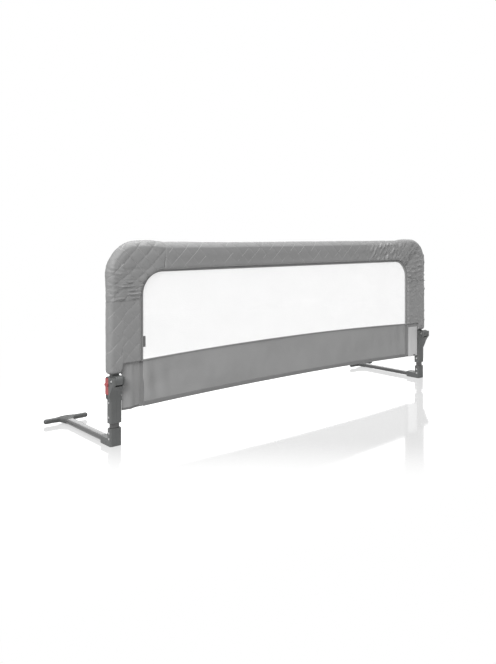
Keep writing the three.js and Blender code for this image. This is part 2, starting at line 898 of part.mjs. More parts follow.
function halfThickness(depth, tubeDepth, width) {
  if (depth < padRadius) return Math.sqrt(padRadius ** 2 - (padRadius - depth) ** 2);
  if (depth < tubeDepth) return padRadius;
  const shoulder = shoulderDepth(width);
  if (depth <= shoulder) {
    const share = (depth - tubeDepth) / (shoulder - tubeDepth);
    return padRadius - (padRadius - sleeveShoulderHalf) * share;
  }
  const share = Math.min((depth - shoulder) / (width - shoulder), 1);
  return sleeveEdgeHalf + (sleeveShoulderHalf - sleeveEdgeHalf) * Math.sqrt(1 - share ** 2);
}

// How far a point of the quilt stands out of its stitched lines, from 0 to 1
function quiltPuff(along, across) {
  const first = Math.sin((Math.PI * (along + across)) / quiltCell);
  const second = Math.sin((Math.PI * (along - across)) / quiltCell);
  return Math.abs(first * second);
}

// Distances across the cloth, from the outer face to the trim: finer where it is round
function acrossStations(width, extraDepths) {
  const step = quiltCell / 2;
  const roundLength = (padRadius * Math.PI) / 2;
  const total = width - padRadius + roundLength;
  const shoulder = shoulderDepth(width) - padRadius + roundLength;
  const stations = [0, step / 2, step, step + step / 2, step * 2];
  for (let at = step * 3; at < shoulder - step / 4; at += step) stations.push(at);
  stations.push(shoulder, total);
  extraDepths.forEach((depth) => stations.push(depth - padRadius + roundLength));
  stations.sort((first, second) => first - second);
  return stations.map((length) => {
    const angle = Math.min(length / padRadius, Math.PI / 2);
    const depth = length < roundLength ? padRadius * (1 - Math.cos(angle)) : length - roundLength + padRadius;
    return { length, depth };
  });
}

// A closed skin from rings of points; front and back of each ring are laced at both ends
function skinFromRings(rings, puffs) {
  const count = rings[0].length;
  const positions = rings.flat().flatMap((p) => [p.x, p.y, p.z]);
  const triangles = [];
  for (let k = 0; k + 1 < rings.length; k += 1) {
    for (let i = 0; i < count; i += 1) {
      const next = (i + 1) % count;
      const [a, b] = [k * count + i, k * count + next];
      const [c, d] = [a + count, b + count];
      const straight = puffs[k][i] + puffs[k + 1][next] < puffs[k][next] + puffs[k + 1][i];
      if (straight) triangles.push(a, d, b, a, c, d);
      else triangles.push(a, c, b, b, c, d);
    }
  }
  const half = (count - 1) / 2;
  const last = (rings.length - 1) * count;
  for (let i = 0; i < half; i += 1) {
    const [front, back] = [i, count - i];
    const [nextFront, nextBack] = [i + 1, count - i - 1];
    const lower = i === 0 ? [[0, nextBack, nextFront]] : [
      [front, back, nextFront],
      [back, nextBack, nextFront],
    ];
    lower.forEach(([p, q, r]) => {
      triangles.push(p, r, q, last + p, last + q, last + r);
    });
  }
  const geometry = new THREE.BufferGeometry();
  geometry.setAttribute('position', new THREE.Float32BufferAttribute(positions, 3));
  geometry.setIndex(triangles);
  return geometry;
}

// Rings of a sleeve piece. place(share, depth) gives the point in the frame's plane.
function quiltedSleeve({
  stationCount,
  length,
  tubeDepthAt,
  widthAt,
  place,
  shrinkAt = () => 0,
  extraDepths = [],
}) {
  const rings = [];
  const puffs = [];
  for (let k = 0; k <= stationCount; k += 1) {
    const along = (length * k) / stationCount;
    const width = widthAt(k / stationCount);
    const stations = acrossStations(widthAt(0), extraDepths).map(({ length: at, depth }) => {
      const scale = width / widthAt(0);
      return { at, depth: depth * scale };
    });
    const front = [];
    const shrink = shrinkAt(k);
    stations.forEach(({ at, depth }) => {
      const puff = quiltPuff(along, at);
      const tubeDepth = tubeDepthAt(k / stationCount);
      const full = halfThickness(depth, tubeDepth, width);
      const dent = quiltDepth * (1 - puff) * (full / padRadius);
      const inset = depth === 0 ? dent + shrink : 0;
      const half = Math.max(full - dent - shrink * (full / padRadius), 0);
      front.push({ depth: Math.max(depth, inset), half, puff });
    });
    front[1].depth = Math.max(front[1].depth, front[0].depth + sleeveEdgeHalf);
    const ring = [];
    const ringPuffs = [];
    front.forEach(({ depth, half, puff }, i) => {
      const spot = place(k / stationCount, depth);
      ring.push(new THREE.Vector3(spot.x, i === 0 ? 0 : -half, spot.z));
      ringPuffs.push(puff);
    });
    for (let i = front.length - 1; i > 0; i -= 1) {
      const { depth, half, puff } = front[i];
      const spot = place(k / stationCount, depth);
      ring.push(new THREE.Vector3(spot.x, half, spot.z));
      ringPuffs.push(puff);
    }
    rings.push(ring);
    puffs.push(ringPuffs);
  }
  return solid(skinFromRings(rings, puffs));
}

const sideWidth = padOut + bandIn - trimWide - fitGap;
const topWidth = padUp + bandDown - trimWide - fitGap;
const sideTop = topTubeHeight - cornerSeamDown;
const cornerEnd = halfSpacing - cornerSeamIn;

// Right upright: from its rounded lower end up to the corner seam
function sideSleeve() {
  const top = sideTop - fitGap;
  const stations = Math.round((top - sleeveFoot) / (quiltCell / 2));
  const lowerEdge = (depth) => {
    const share = Math.min(Math.max((depth - bandFootFrom) / (bandFootTo - bandFootFrom), 0), 1);
    return sleeveFoot + (bandFoot - sleeveFoot) * share;
  };
  const place = (share, depth) => {
    const low = lowerEdge(depth);
    return { x: halfSpacing + padOut - depth, z: low + (top - low) * share };
  };
  const shrinkAt = (k) => (k === 0 ? sleeveEndInset : 0);
  const body = quiltedSleeve({
    stationCount: stations,
    length: top - sleeveFoot,
    tubeDepthAt: () => padOut,
    widthAt: () => sideWidth,
    place,
    shrinkAt,
    extraDepths: [bandFootFrom, bandFootTo],
  });
  const bore = alongZ(oval(tubeWide, tubeThick, slipGap), sleeveFoot - overrun, top + overrun, ovalDivisions);
  return toGeometry(body.subtract(solid(bore.translate(halfSpacing, 0, 0))));
}

function topSleeve() {
  const half = cornerEnd - fitGap;
  const stations = Math.round((half * 2) / (quiltCell / 2));
  const place = (share, depth) => ({
    x: half - 2 * half * share,
    z: topTubeHeight + padUp - depth,
  });
  const body = quiltedSleeve({
    stationCount: stations,
    length: half * 2,
    tubeDepthAt: () => padUp,
    widthAt: () => topWidth,
    place,
  });
  const bore = barAlongX(oval(tubeWide, tubeThick, slipGap), -half - overrun, half + overrun);
  return toGeometry(body.subtract(solid(bore)));
}

// Right corner: the outer edge follows the tube's bend and the inner edge the opening's corner
function cornerSleeve() {
  const outerPath = new THREE.CurvePath();
  const innerPath = new THREE.CurvePath();
  const trimEdge = trimWide + fitGap;
  const innerX = openingHalf + trimEdge;
  const innerZ = openingTop + trimEdge;
  const innerRound = openingRound + trimEdge;
  const low = new THREE.Vector2(halfSpacing, sideTop);
  const high = new THREE.Vector2(cornerEnd, topTubeHeight);
  outerPath.add(new THREE.LineCurve(low, new THREE.Vector2(halfSpacing, bendCentreHeight)));
  outerPath.add(new THREE.EllipseCurve(bendCentreX, bendCentreHeight, frameBend, frameBend, 0, Math.PI / 2));
  outerPath.add(new THREE.LineCurve(new THREE.Vector2(bendCentreX, topTubeHeight), high));
  const innerLow = new THREE.Vector2(innerX, sideTop);
  const innerHigh = new THREE.Vector2(cornerEnd, innerZ);
  const [turnX, turnZ] = [innerX - innerRound, innerZ - innerRound];
  const seamShare = Math.max((cornerEnd - turnX) / innerRound, 0);
  innerPath.add(new THREE.LineCurve(innerLow, new THREE.Vector2(innerX, turnZ)));
  innerPath.add(new THREE.EllipseCurve(turnX, turnZ, innerRound, innerRound, 0, Math.acos(seamShare)));
  if (turnX > cornerEnd) {
    innerPath.add(new THREE.LineCurve(new THREE.Vector2(turnX, innerZ), innerHigh));
  }
  const length = outerPath.getLength();
  const stations = Math.round(length / (quiltCell / 2));
  const outAt = (share) => {
    const puff = cornerPuff * Math.sin(Math.PI * share ** 2);
    return padOut + (padUp - padOut) * share + puff;
  };
  const widthAt = (share) => {
    const outer = outerPath.getPointAt(share);
    const inner = innerPath.getPointAt(share);
    return outer.distanceTo(inner) + outAt(share);
  };
  const place = (share, depth) => {
    const outer = outerPath.getPointAt(share);
    const inner = innerPath.getPointAt(share);
    const inward = inner.clone().sub(outer).normalize();
    return {
      x: outer.x + inward.x * (depth - outAt(share)),
      z: outer.y + inward.y * (depth - outAt(share)),
    };
  };
  const body = quiltedSleeve({
    stationCount: stations,
    length,
    tubeDepthAt: outAt,
    widthAt,
    place,
    shrinkAt: (k) => -cornerSwell * Math.sin((Math.PI * k) / stations),
  });
  const bore = new FramePath(1, sideTop - overrun, cornerEnd - overrun);
  return toGeometry(body.subtract(sweepOval(bore, slipGap, false)));
}

// Net, trim and cloth below it

function headHeight(x) {
  return bandFoot + headBow * (1 - (x / openingHalf) ** 2);
}

function footHeight(x) {
  return panelFoot + footBow * (1 - (x / openingHalf) ** 2);
}

// Points along a bowed edge, from one side to the other
function bowedEdge(heightAt, rise, from, to) {
  const points = [];
  for (let i = 0; i <= bowDivisions; i += 1) {
    const x = from + ((to - from) * i) / bowDivisions;
    points.push(new THREE.Vector2(x, heightAt(x) + rise));
  }
  return points;
}

function archOutline(half, top, round, heightAt, rise) {
  const shape = new THREE.Shape(bowedEdge(heightAt, rise, -half, half));
  shape.absarc(half - round, top - round, round, 0, Math.PI / 2);
  shape.absarc(-half + round, top - round, round, Math.PI / 2, Math.PI);
  shape.closePath();
  return shape;
}

function openingTrim() {
  const outer = new THREE.Shape();
  const edge = trimWide;
  const foot = bandFoot;
  const [half, top, round] = [openingHalf + edge, openingTop + edge, openingRound + edge];
  outer.moveTo(half, foot);
  outer.absarc(half - round, top - round, round, 0, Math.PI / 2);
  outer.absarc(-half + round, top - round, round, Math.PI / 2, Math.PI);
  outer.lineTo(-half, foot);
  outer.lineTo(-openingHalf, foot);
  const [turnX, turnZ] = [openingHalf - openingRound, openingTop - openingRound];
  outer.absarc(-turnX, turnZ, openingRound, Math.PI, Math.PI / 2, true);
  outer.absarc(turnX, turnZ, openingRound, Math.PI / 2, 0, true);
  outer.lineTo(openingHalf, foot);
  outer.closePath();
  return toGeometry(solid(alongY(outer, -trimThick / 2, trimThick / 2, sideDivisions)));
}

function net() {
  const half = openingHalf - fitGap;
  const top = openingTop - fitGap;
  const round = openingRound - fitGap;
  const rise = bindingTall + fitGap;
  const shape = archOutline(half, top, round, headHeight, rise);
  const gapsHalf = half - netMargin;
  const columnPitch = (2 * gapsHalf + netWeb) / netColumns;
  const cornerX = half - round;
  const cornerZ = top - round;
  const reach = round - netMargin;
  const drawnIn = ([x, z]) => {
    const [side, rise] = [Math.abs(x) - cornerX, z - cornerZ];
    const distance = Math.hypot(side, rise);
    if (side < 0 || rise < 0 || distance < reach) return new THREE.Vector2(x, z);
    const share = reach / distance;
    return new THREE.Vector2(Math.sign(x) * (cornerX + side * share), cornerZ + rise * share);
  };
  for (let column = 0; column < netColumns; column += 1) {
    const left = -gapsHalf + column * columnPitch;
    const right = left + columnPitch - netWeb;
    for (let row = 0; row < netRows; row += 1) {
      const heightAt = (x, at) => {
        const low = headHeight(x) + rise + netMargin;
        return low + ((top - netMargin + netWeb - low) * at) / netRows;
      };
      const corners = [
        [left, heightAt(left, row)],
        [right, heightAt(right, row)],
        [right, heightAt(right, row + 1) - netWeb],
        [left, heightAt(left, row + 1) - netWeb],
      ];
      shape.holes.push(new THREE.Path(corners.map(drawnIn)));
    }
  }
  return toGeometry(solid(alongY(shape, -netThick / 2, netThick / 2, sideDivisions)));
}

// A strip that follows a bowed edge
function bowedStrip(heightAt, low, high, thick) {
  const half = openingHalf;
  const lower = bowedEdge(heightAt, low, -half, half);
  const upper = bowedEdge(heightAt, high, half, -half);
  const shape = new THREE.Shape([...lower, ...upper]);
  return toGeometry(solid(alongY(shape, -thick / 2, thick / 2)));
}

// Lower panel: one sheet with slow upright folds that fade at its sewn edges
function lowerPanel() {
  const half = openingHalf;
  const sheet = [-clothThick / 2, clothThick / 2];
  const foldAt = (x, share) => {
    const wave = Math.sin((Math.PI * foldCount * (x + half)) / (2 * half));
    return panelFold * wave * Math.sin(Math.PI * share);
  };
  const positions = [];
  const triangles = [];
  const columns = panelColumns + 1;
  const rows = panelRows + 1;
  sheet.forEach((offset) => {
    for (let i = 0; i < columns; i += 1) {
      const x = -half + (2 * half * i) / panelColumns;
      const low = footHeight(x) + hemTall + fitGap;
      const high = headHeight(x) - fitGap;
      for (let j = 0; j < rows; j += 1) {
        const share = j / panelRows;
        positions.push(x, foldAt(x, share) + offset, low + (high - low) * share);
      }
    }
  });
  const at = (side, i, j) => side * columns * rows + i * rows + j;
  const quad = (a, b, c, d) => triangles.push(a, b, c, a, c, d);
  for (let i = 0; i < panelColumns; i += 1) {
    for (let j = 0; j < panelRows; j += 1) {
      quad(at(0, i, j), at(0, i + 1, j), at(0, i + 1, j + 1), at(0, i, j + 1));
      quad(at(1, i, j), at(1, i, j + 1), at(1, i + 1, j + 1), at(1, i + 1, j));
    }
    quad(at(0, i, 0), at(1, i, 0), at(1, i + 1, 0), at(0, i + 1, 0));
    quad(at(0, i, panelRows), at(0, i + 1, panelRows), at(1, i + 1, panelRows), at(1, i, panelRows));
  }
  for (let j = 0; j < panelRows; j += 1) {
    quad(at(0, 0, j), at(0, 0, j + 1), at(1, 0, j + 1), at(1, 0, j));
    const end = panelColumns;
    quad(at(0, end, j), at(1, end, j), at(1, end, j + 1), at(0, end, j + 1));
  }
  const geometry = new THREE.BufferGeometry();
  geometry.setAttribute('position', new THREE.Float32BufferAttribute(positions, 3));
  geometry.setIndex(triangles);
  return toGeometry(solid(geometry));
}

// Cloth wing between the panel's end seam and the post
function wing() {
  const shape = new THREE.Shape();
  const near = openingHalf + fitGap;
  const far = halfSpacing - wingOuter;
  shape.moveTo(near, panelFoot);
  shape.lineTo(far, panelFoot);
  shape.lineTo(far, bandFoot - fitGap);
  shape.lineTo(near, bandFoot - fitGap);
  shape.closePath();
  return toGeometry(solid(alongY(shape, -clothThick / 2, clothThick / 2)));
}

function blankLabel() {
  const [near, far] = [openingHalf + labelSideMargin, halfSpacing - wingOuter - labelSideMargin];
  const [low, high] = [panelFoot + labelEndMargin, bandFoot - labelEndMargin];
  const shape = new THREE.Shape();
  shape.moveTo(near, low);
  shape.lineTo(far, low);
  shape.lineTo(far, high);
  shape.lineTo(near, high);
  shape.closePath();
  const front = -clothThick / 2 - fitGap;
  return toGeometry(solid(alongY(shape, front - labelThick, front)));
}

// Assembly

const guardRail = new THREE.Group();
guardRail.position.y = -originBack;

function addPiece(name, geometry, material, x = 0) {
  const mesh = new THREE.Mesh(geometry, material);
  mesh.name = name;
  mesh.position.x = x;
  guardRail.add(mesh);
}

const corner = cornerBody();
const hinge = hingeBody();

const legPieces = [
  ['corner_shell_outer', outerHalf(corner), darkPlastic],
  ['corner_shell_inner', innerHalf(corner), darkPlastic],
  ['corner_rivet_lower', rivet(cornerHalf, 0, cornerRivetLow), bareSteel],
  ['corner_rivet_upper', rivet(cornerHalf, 0, cornerRivetHigh), bareSteel],
  ['floor_arm', floorArm(), coatedSteel],
  ['foot_hub', footHub(), darkPlastic],
  ['foot_bar', footBar(), darkPlastic],
  ['post_tube', postTube(), coatedSteel],
  ['hinge_shell_outer', outerHalf(hinge), darkPlastic],
  ['hinge_shell_inner', innerHalf(hinge), darkPlastic],
  ['hinge_rivet_lower', rivet(housingHalf, 0, hingeRivetLow), bareSteel],
  ['hinge_rivet_upper', rivet(housingHalf, 0, hingeRivetHigh), bareSteel],
  ['pivot_pin', pivotPin(), bareSteel],
  ['pivot_cap', pivotCap(), bareSteel],
  ['release_slider', releaseSlider(), redPlastic],
  ['lock_bolt', lockBolt(), bareSteel],
  ['latch_spring', latchSpring(), bareSteel],
  ['hinge_knuckle', hingeKnuckle(), darkPlastic],
  ['frame_rivet', frameRivetPin(), bareSteel],
];

for (const [name, geometry, material] of legPieces) {
  addPiece(`right_${name}`, geometry, material, halfSpacing);
  addPiece(`left_${name}`, mirrored(geometry), material, -halfSpacing);
}

addPiece('top_tube', topTube(), coatedSteel);
for (const [side, sideSign] of [['left', -1], ['right', 1]]) {
  addPiece(`${side}_corner_tube`, cornerTube(sideSign), coatedSteel);
  addPiece(`${side}_joint_plug`, jointPlug(sideSign), darkPlastic);
  addPiece(`${side}_snap_button`, snapButtonPin(sideSign), bareSteel);
}

const railPairs = [
  ['side_sleeve', sideSleeve(), quiltCloth],
  ['corner_sleeve', cornerSleeve(), quiltCloth],
  ['panel_wing', wing(), panelCloth],
];
for (const [name, geometry, material] of railPairs) {
  addPiece(`right_${name}`, geometry, material);
  addPiece(`left_${name}`, mirrored(geometry), material);
}

addPiece('top_sleeve', topSleeve(), quiltCloth);
addPiece('opening_trim', openingTrim(), trimCloth);
addPiece('net', net(), netCloth);
addPiece('panel_binding', bowedStrip(headHeight, 0, bindingTall, hemThick), darkCloth);
addPiece('lower_panel', lowerPanel(), panelCloth);
addPiece('hem_strap', bowedStrip(footHeight, 0, hemTall, hemThick), darkCloth);
addPiece('care_label', blankLabel(), labelCloth);

export default guardRail;
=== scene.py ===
"""Looks of the folding bed guard rail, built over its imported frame.

Sizes are millimetres in the part's own frame, where Y is 0 in the plane of the posts.
to_frame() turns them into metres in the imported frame. Materials, lamps and camera are in metres.
"""

import json
import math

import bmesh
import bpy
import numpy as np
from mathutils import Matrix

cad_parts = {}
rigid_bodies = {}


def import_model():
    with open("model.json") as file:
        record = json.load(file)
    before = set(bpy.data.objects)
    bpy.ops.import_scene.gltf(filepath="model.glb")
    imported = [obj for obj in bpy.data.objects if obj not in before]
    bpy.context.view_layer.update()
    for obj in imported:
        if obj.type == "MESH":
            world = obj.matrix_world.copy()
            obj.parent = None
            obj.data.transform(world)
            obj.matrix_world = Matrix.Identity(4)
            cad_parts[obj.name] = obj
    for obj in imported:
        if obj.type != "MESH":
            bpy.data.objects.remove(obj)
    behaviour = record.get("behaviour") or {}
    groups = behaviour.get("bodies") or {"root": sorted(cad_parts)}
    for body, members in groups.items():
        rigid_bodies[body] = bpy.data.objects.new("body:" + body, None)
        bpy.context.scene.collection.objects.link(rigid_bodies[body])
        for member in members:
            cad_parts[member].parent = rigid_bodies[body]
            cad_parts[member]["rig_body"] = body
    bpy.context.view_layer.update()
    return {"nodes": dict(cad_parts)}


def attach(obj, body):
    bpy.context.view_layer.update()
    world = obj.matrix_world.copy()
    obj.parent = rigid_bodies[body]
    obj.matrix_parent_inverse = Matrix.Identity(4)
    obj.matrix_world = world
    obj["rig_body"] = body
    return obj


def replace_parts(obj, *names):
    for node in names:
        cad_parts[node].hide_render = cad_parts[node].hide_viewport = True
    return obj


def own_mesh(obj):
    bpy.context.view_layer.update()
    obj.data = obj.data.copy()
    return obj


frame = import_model()
SIDES = (("left", -1), ("right", 1))
MM = 0.001
PI = math.pi

# Sizes that the part's source also has, or that follow from them
HALF = 723.5
ORIGIN_BACK = 150.9
TOP_TUBE = 562.0
BEND = 78.0
PAD = 17.0
PAD_OUT = 26.5
PAD_UP = 27.0
CELL = 51.0
OPENING_HALF = 628.5
OPENING_TOP = 500.0
OPENING_ROUND = 66.0
TRIM_WIDE = 8.5
TRIM_THICK = 5.0
GAP = 0.3
SLEEVE_FOOT = 208.5
BAND_FOOT = 233.0
SIDE_FOOT = 236.5
BAND_FOOT_FROM = 40.5
BAND_FOOT_TO = 50.0
FOOT_ROUND = 13.0
SIDE_TOP = 419.0
CORNER_END = 560.5
SIDE_WIDTH = 112.7
TOP_WIDTH = 80.2
PANEL_FOOT = 99.0
HEAD_BOW = 13.0
FOOT_BOW = 10.0
BINDING_TALL = 6.0
HEM_TALL = 13.0
WING_FAR = 702.5
TUBE_HALF = 15.0
TUBE_ROUND = 7.5

# How the padded band is filled beyond what the solids show
EDGE_FULL = 11.5
EDGE_HALF = 2.6
EDGE_RUN = 11.0
STEP = CELL / 24
CLOSE_RINGS = (0.1056, 0.3168, 0.528)
LEAN = 0.055
LEAN_FROM = 25.0
ROUND_EXTRA = PAD * (PI / 2 - 1)
RIM_LEAST = 0.35
RIM_FROM = 8.0
RIM_RUN = 16.0
SEAM_RUN = 3.2
BORE_EASE = 1.2
CLOSED_HALF = 0.25

# The quilting: its creases, the width, dashes and place of the painted highlights along its stitch
# lines, and where the back face starts on the flat cloth
CREASE_REACH = 2.2
BACK_FACE = 306.0
STITCH_HALF = {-1: 0.9, 1: 0.6}
STITCH_REPEAT = 2.6
STITCH_BREAK = 0.7
HIGHLIGHT_ACROSS = 42.0

# The net's threads, and the tab on its trim
NET_PITCH = 3.4
NET_LEAN = 58.0
NET_THREAD = 0.5
TAB_HEIGHT = 292.5
TAB_TALL = 33.0

# The hinge: the curve of its bulge as (y, z), its pivot, and what the looks change
BULGE_CURVE = ((-38, 184), (-14, 160), (-12, 132))
PIVOT_BACK = -24.0
PIVOT_UP = 192.0
PIVOT_HEAD = 4.6
PIVOT_TURNED_DOWN = 0.62
SLIDER_TOP = 198.0
SLIDER_LOWER = 4.0
BAY_WALL = 14.15
BAY_FROM = 175.5
BAY_TO = 202.5
BAY_INWARD = 4.5
KNUCKLE_INWARD = 5.7
KNUCKLE_TOP = 201.0
INNER_FACE = 19.0
BULGE_FOOT = 132.0
WELD = 0.02
FLAT_ANGLE = math.radians(1.5)
EDGE_ANGLE = math.radians(34)

# The foot's hub and bar
HUB_FRONT = 296.6
HUB_BACK = 339.9
HUB_HALF = 16.2
HUB_FLARE = 11.5
HUB_LOW = 1.4
HUB_HIGH = 18.6
BAR_HALF = 75.0
BAR_ROUND = 7.9
BAR_SWELL = 1.8
BAR_BACK = 328.0
BAR_UP = 12.5
BAR_SIDES = 32


def to_frame(points):
    moved = np.array(points, dtype=float)
    moved[..., 1] -= ORIGIN_BACK
    return moved * MM


def link(name, data):
    """A new object in the scene."""
    made = bpy.data.objects.new(name, data)
    bpy.context.scene.collection.objects.link(made)
    return made


# Materials


def feed(tree, socket, value):
    if isinstance(value, bpy.types.NodeSocket):
        tree.links.new(value, socket)
    else:
        socket.default_value = value


def add_node(tree, kind, settings=None, **inputs):
    """A shader node. Its inputs go by name or, as i0, i1 and so on, by number."""
    made = tree.nodes.new("ShaderNode" + kind)
    for key, value in (settings or {}).items():
        setattr(made, key, value)
    for key, value in inputs.items():
        spot = int(key[1:]) if key[0] == "i" and key[1:].isdigit() else key.replace("_", " ")
        feed(tree, made.inputs[spot], value)
    return made


class Look:
    """A material with one Principled shader, and short calls for the nodes that feed it."""

    def __init__(self, name, **sockets):
        self.material = bpy.data.materials.new(name)
        self.material.use_nodes = True
        self.tree = self.material.node_tree
        self.shader = next(n for n in self.tree.nodes if n.type == "BSDF_PRINCIPLED")
        for socket, value in sockets.items():
            self.shader.inputs[socket.replace("_", " ")].default_value = value

    def add(self, kind, settings=None, **inputs):
        return add_node(self.tree, kind, settings, **inputs)

    def feed(self, socket, value):
        feed(self.tree, socket, value)

    def math(self, operation, *values):
        made = self.add("Math", {"operation": operation})
        for socket, value in zip(made.inputs, values):
            self.feed(socket, value)
        return made.outputs[0]

    def times(self, first, second):
        return self.math("MULTIPLY", first, second)

    def place(self, scale=(1.0, 1.0, 1.0), output="Object"):
        source = self.add("TexCoord")
        return self.add("Mapping", Vector=source.outputs[output], Scale=scale).outputs[0]

    def noise(self, vector, scale, detail=3.0, roughness=0.5):
        return self.add(
            "TexNoise", Vector=vector, Scale=scale, Detail=detail, Roughness=roughness
        ).outputs["Fac"]

    def ramp(self, factor, stops):
        made = self.add("ValToRGB", Fac=factor)
        band = made.color_ramp
        while len(band.elements) < len(stops):
            band.elements.new(0.5)
        for element, (position, colour) in zip(band.elements, stops):
            element.position = position
            element.color = (*colour, 1.0)
        return made.outputs["Color"]

    def tones(self, factor, colour, *stops):
        """A colour darkened and lightened: each stop is (position, times the colour)."""
        return self.ramp(factor, [(at, [c * times for c in colour]) for at, times in stops])

    def bump(self, layers):
        """Bumps one on another: (height socket, depth in metres, strength)."""
        normal = None
        for height, depth, strength in layers:
            made = self.add("Bump", Height=height, Distance=depth, Strength=strength)
            if normal is not None:
                self.feed(made.inputs["Normal"], normal)
            normal = made.outputs["Normal"]
        self.feed(self.shader.inputs["Normal"], normal)

    def colour(self, socket):
        self.feed(self.shader.inputs["Base Color"], socket)

    def rough(self, socket):
        self.feed(self.shader.inputs["Roughness"], socket)


def grey(value):
    return (value, value, value)


def spread(look, factor, low, high):
    """A factor from 0 to 1 turned into a value from low to high."""
    return look.add("MapRange", Value=factor, i3=low, i4=high).outputs[0]


def weave_height(look, vector, pitch):
    """Warp and weft threads that pass over each other, from 0 to 1."""
    x, y, _ = look.add("SeparateXYZ", Vector=vector).outputs
    turn = 2 * PI / pitch
    first = look.math("SINE", look.times(x, turn))
    second = look.math("SINE", look.times(y, turn))
    product = look.times(first, second)
    return look.math("MULTIPLY_ADD", product, 0.5, 0.5)


def stitch_mask(look, vector, family):
    """1 on the quilting thread of one family of lines, broken into stitches, and 0 elsewhere."""
    x, y, _ = look.add("SeparateXYZ", Vector=vector).outputs
    other = look.times(y, float(family))
    run = look.math("ADD", x, other)
    cross = look.math("SUBTRACT", x, other)
    off = look.math("PINGPONG", run, CELL * MM / 2)
    near = look.math("LESS_THAN", off, STITCH_HALF[family] * MM)
    dash = look.math("PINGPONG", cross, STITCH_REPEAT * MM)
    on = look.math("GREATER_THAN", dash, STITCH_BREAK * MM)
    return look.times(near, on)


def cloth_look(name, value, pitch, sheen=0.25, quilted=False, creases=0.5, crossing=0.35):
    """Woven cloth; quilted cloth also gets painted highlights along its stitch lines, the second
    family weaker by crossing.
    """
    shine = 0.5 if quilted else 0.35
    look = Look(
        name, Sheen_Weight=sheen, Sheen_Roughness=0.45, IOR=1.45, Specular_IOR_Level=shine
    )
    flat = look.place(output="UV")
    solid = look.place()
    broad = look.noise(solid, 9.0, 4.0, 0.55)
    threads = look.noise(look.place((900.0, 140.0, 1.0), "UV"), 1.0, 2.0)
    mixed = look.math("MULTIPLY_ADD", threads, 0.35, look.times(broad, 0.65))
    shades = look.tones(mixed, grey(value), (0.25, 0.9), (0.5, 1.0), (0.78, 1.09))
    weave = weave_height(look, flat, pitch)
    shade = look.add("Mix", {"data_type": "RGBA", "blend_type": "MULTIPLY"}, i0=0.16, i6=shades)
    look.feed(shade.inputs[7], look.ramp(weave, ((0.0, grey(0.55)), (1.0, grey(1.0)))))
    result = shade.outputs[2]
    layers = [(look.noise(solid, 42.0, 4.0, 0.6), 0.0012, creases), (weave, 0.00012, 0.5)]
    if quilted:
        # Painted highlights: the stitch lines are painted paler where noise lets them show,
        # strongest about 42 mm in from the outer face, and the second family weaker, as the light
        # falls from the upper left
        scuff_and_highlight_mask = look.math("GREATER_THAN", look.noise(solid, 26.0, 1.0), 0.5)
        across = look.add("SeparateXYZ", Vector=flat).outputs[1]
        across = look.math("MODULO", across, BACK_FACE * MM)
        off = look.math("ABSOLUTE", look.math("SUBTRACT", across, HIGHLIGHT_ACROSS * MM))
        near = look.add("MapRange", Value=off, i1=0.012, i2=0.036, i3=1.0, i4=0.35).outputs[0]
        shown = look.times(scuff_and_highlight_mask, near)
        bright = look.times(stitch_mask(look, flat, -1), shown)
        shown = look.times(scuff_and_highlight_mask, crossing)
        faint = look.times(stitch_mask(look, flat, 1), shown)
        lines = look.math("MAXIMUM", bright, faint)
        # The painted highlight's colour: 2.1 times the cloth's value
        sewn = look.add("Mix", {"data_type": "RGBA"}, i0=lines, i6=result)
        look.feed(sewn.inputs[7], (*grey(value * 2.1), 1.0))
        result = sewn.outputs[2]
        layers.append((lines, 0.0003, 0.6))
    look.colour(result)
    look.rough(spread(look, broad, 0.4, 0.56) if quilted else spread(look, broad, 0.58, 0.78))
    look.bump(layers)
    return look.material


def plastic_look(name, colour, rough=0.42):
    look = Look(name, IOR=1.5, Specular_IOR_Level=0.5)
    solid = look.place()
    broad = look.noise(solid, 22.0, 3.0, 0.6)
    fine = look.noise(solid, 1500.0, 2.0)
    scuff = look.noise(look.place((60.0, 60.0, 9.0)), 3.0, 5.0, 0.7)
    scuff_and_highlight_mask = look.math("SMOOTH_MIN", look.times(scuff, 1.2), 1.0, 0.1)
    mixed = look.math("MULTIPLY_ADD", fine, 0.3, look.times(broad, 0.7))
    look.colour(look.tones(mixed, colour, (0.3, 0.88), (0.52, 1.0), (0.75, 1.16)))
    look.rough(spread(look, scuff_and_highlight_mask, rough - 0.09, rough + 0.13))
    look.bump([(broad, 0.0004, 0.12), (fine, 0.00008, 0.55)])
    return look.material


def steel_look(name, value, metallic, rough, peel):
    look = Look(name, Metallic=metallic, IOR=1.55)
    solid = look.place()
    ripples = look.noise(solid, peel, 2.0, 0.4)
    specks = look.noise(solid, 3200.0, 2.0)
    marks = look.noise(look.place((30.0, 400.0, 400.0)), 2.0, 4.0, 0.7)
    mixed = look.math("MULTIPLY_ADD", specks, 0.4, look.times(marks, 0.6))
    look.colour(look.tones(mixed, grey(value), (0.3, 0.86), (0.5, 1.0), (0.75, 1.12)))
    look.rough(spread(look, marks, rough - 0.07, rough + 0.12))
    look.bump([(ripples, 0.0001, 0.12), (specks, 0.00004, 0.15)])
    return look.material


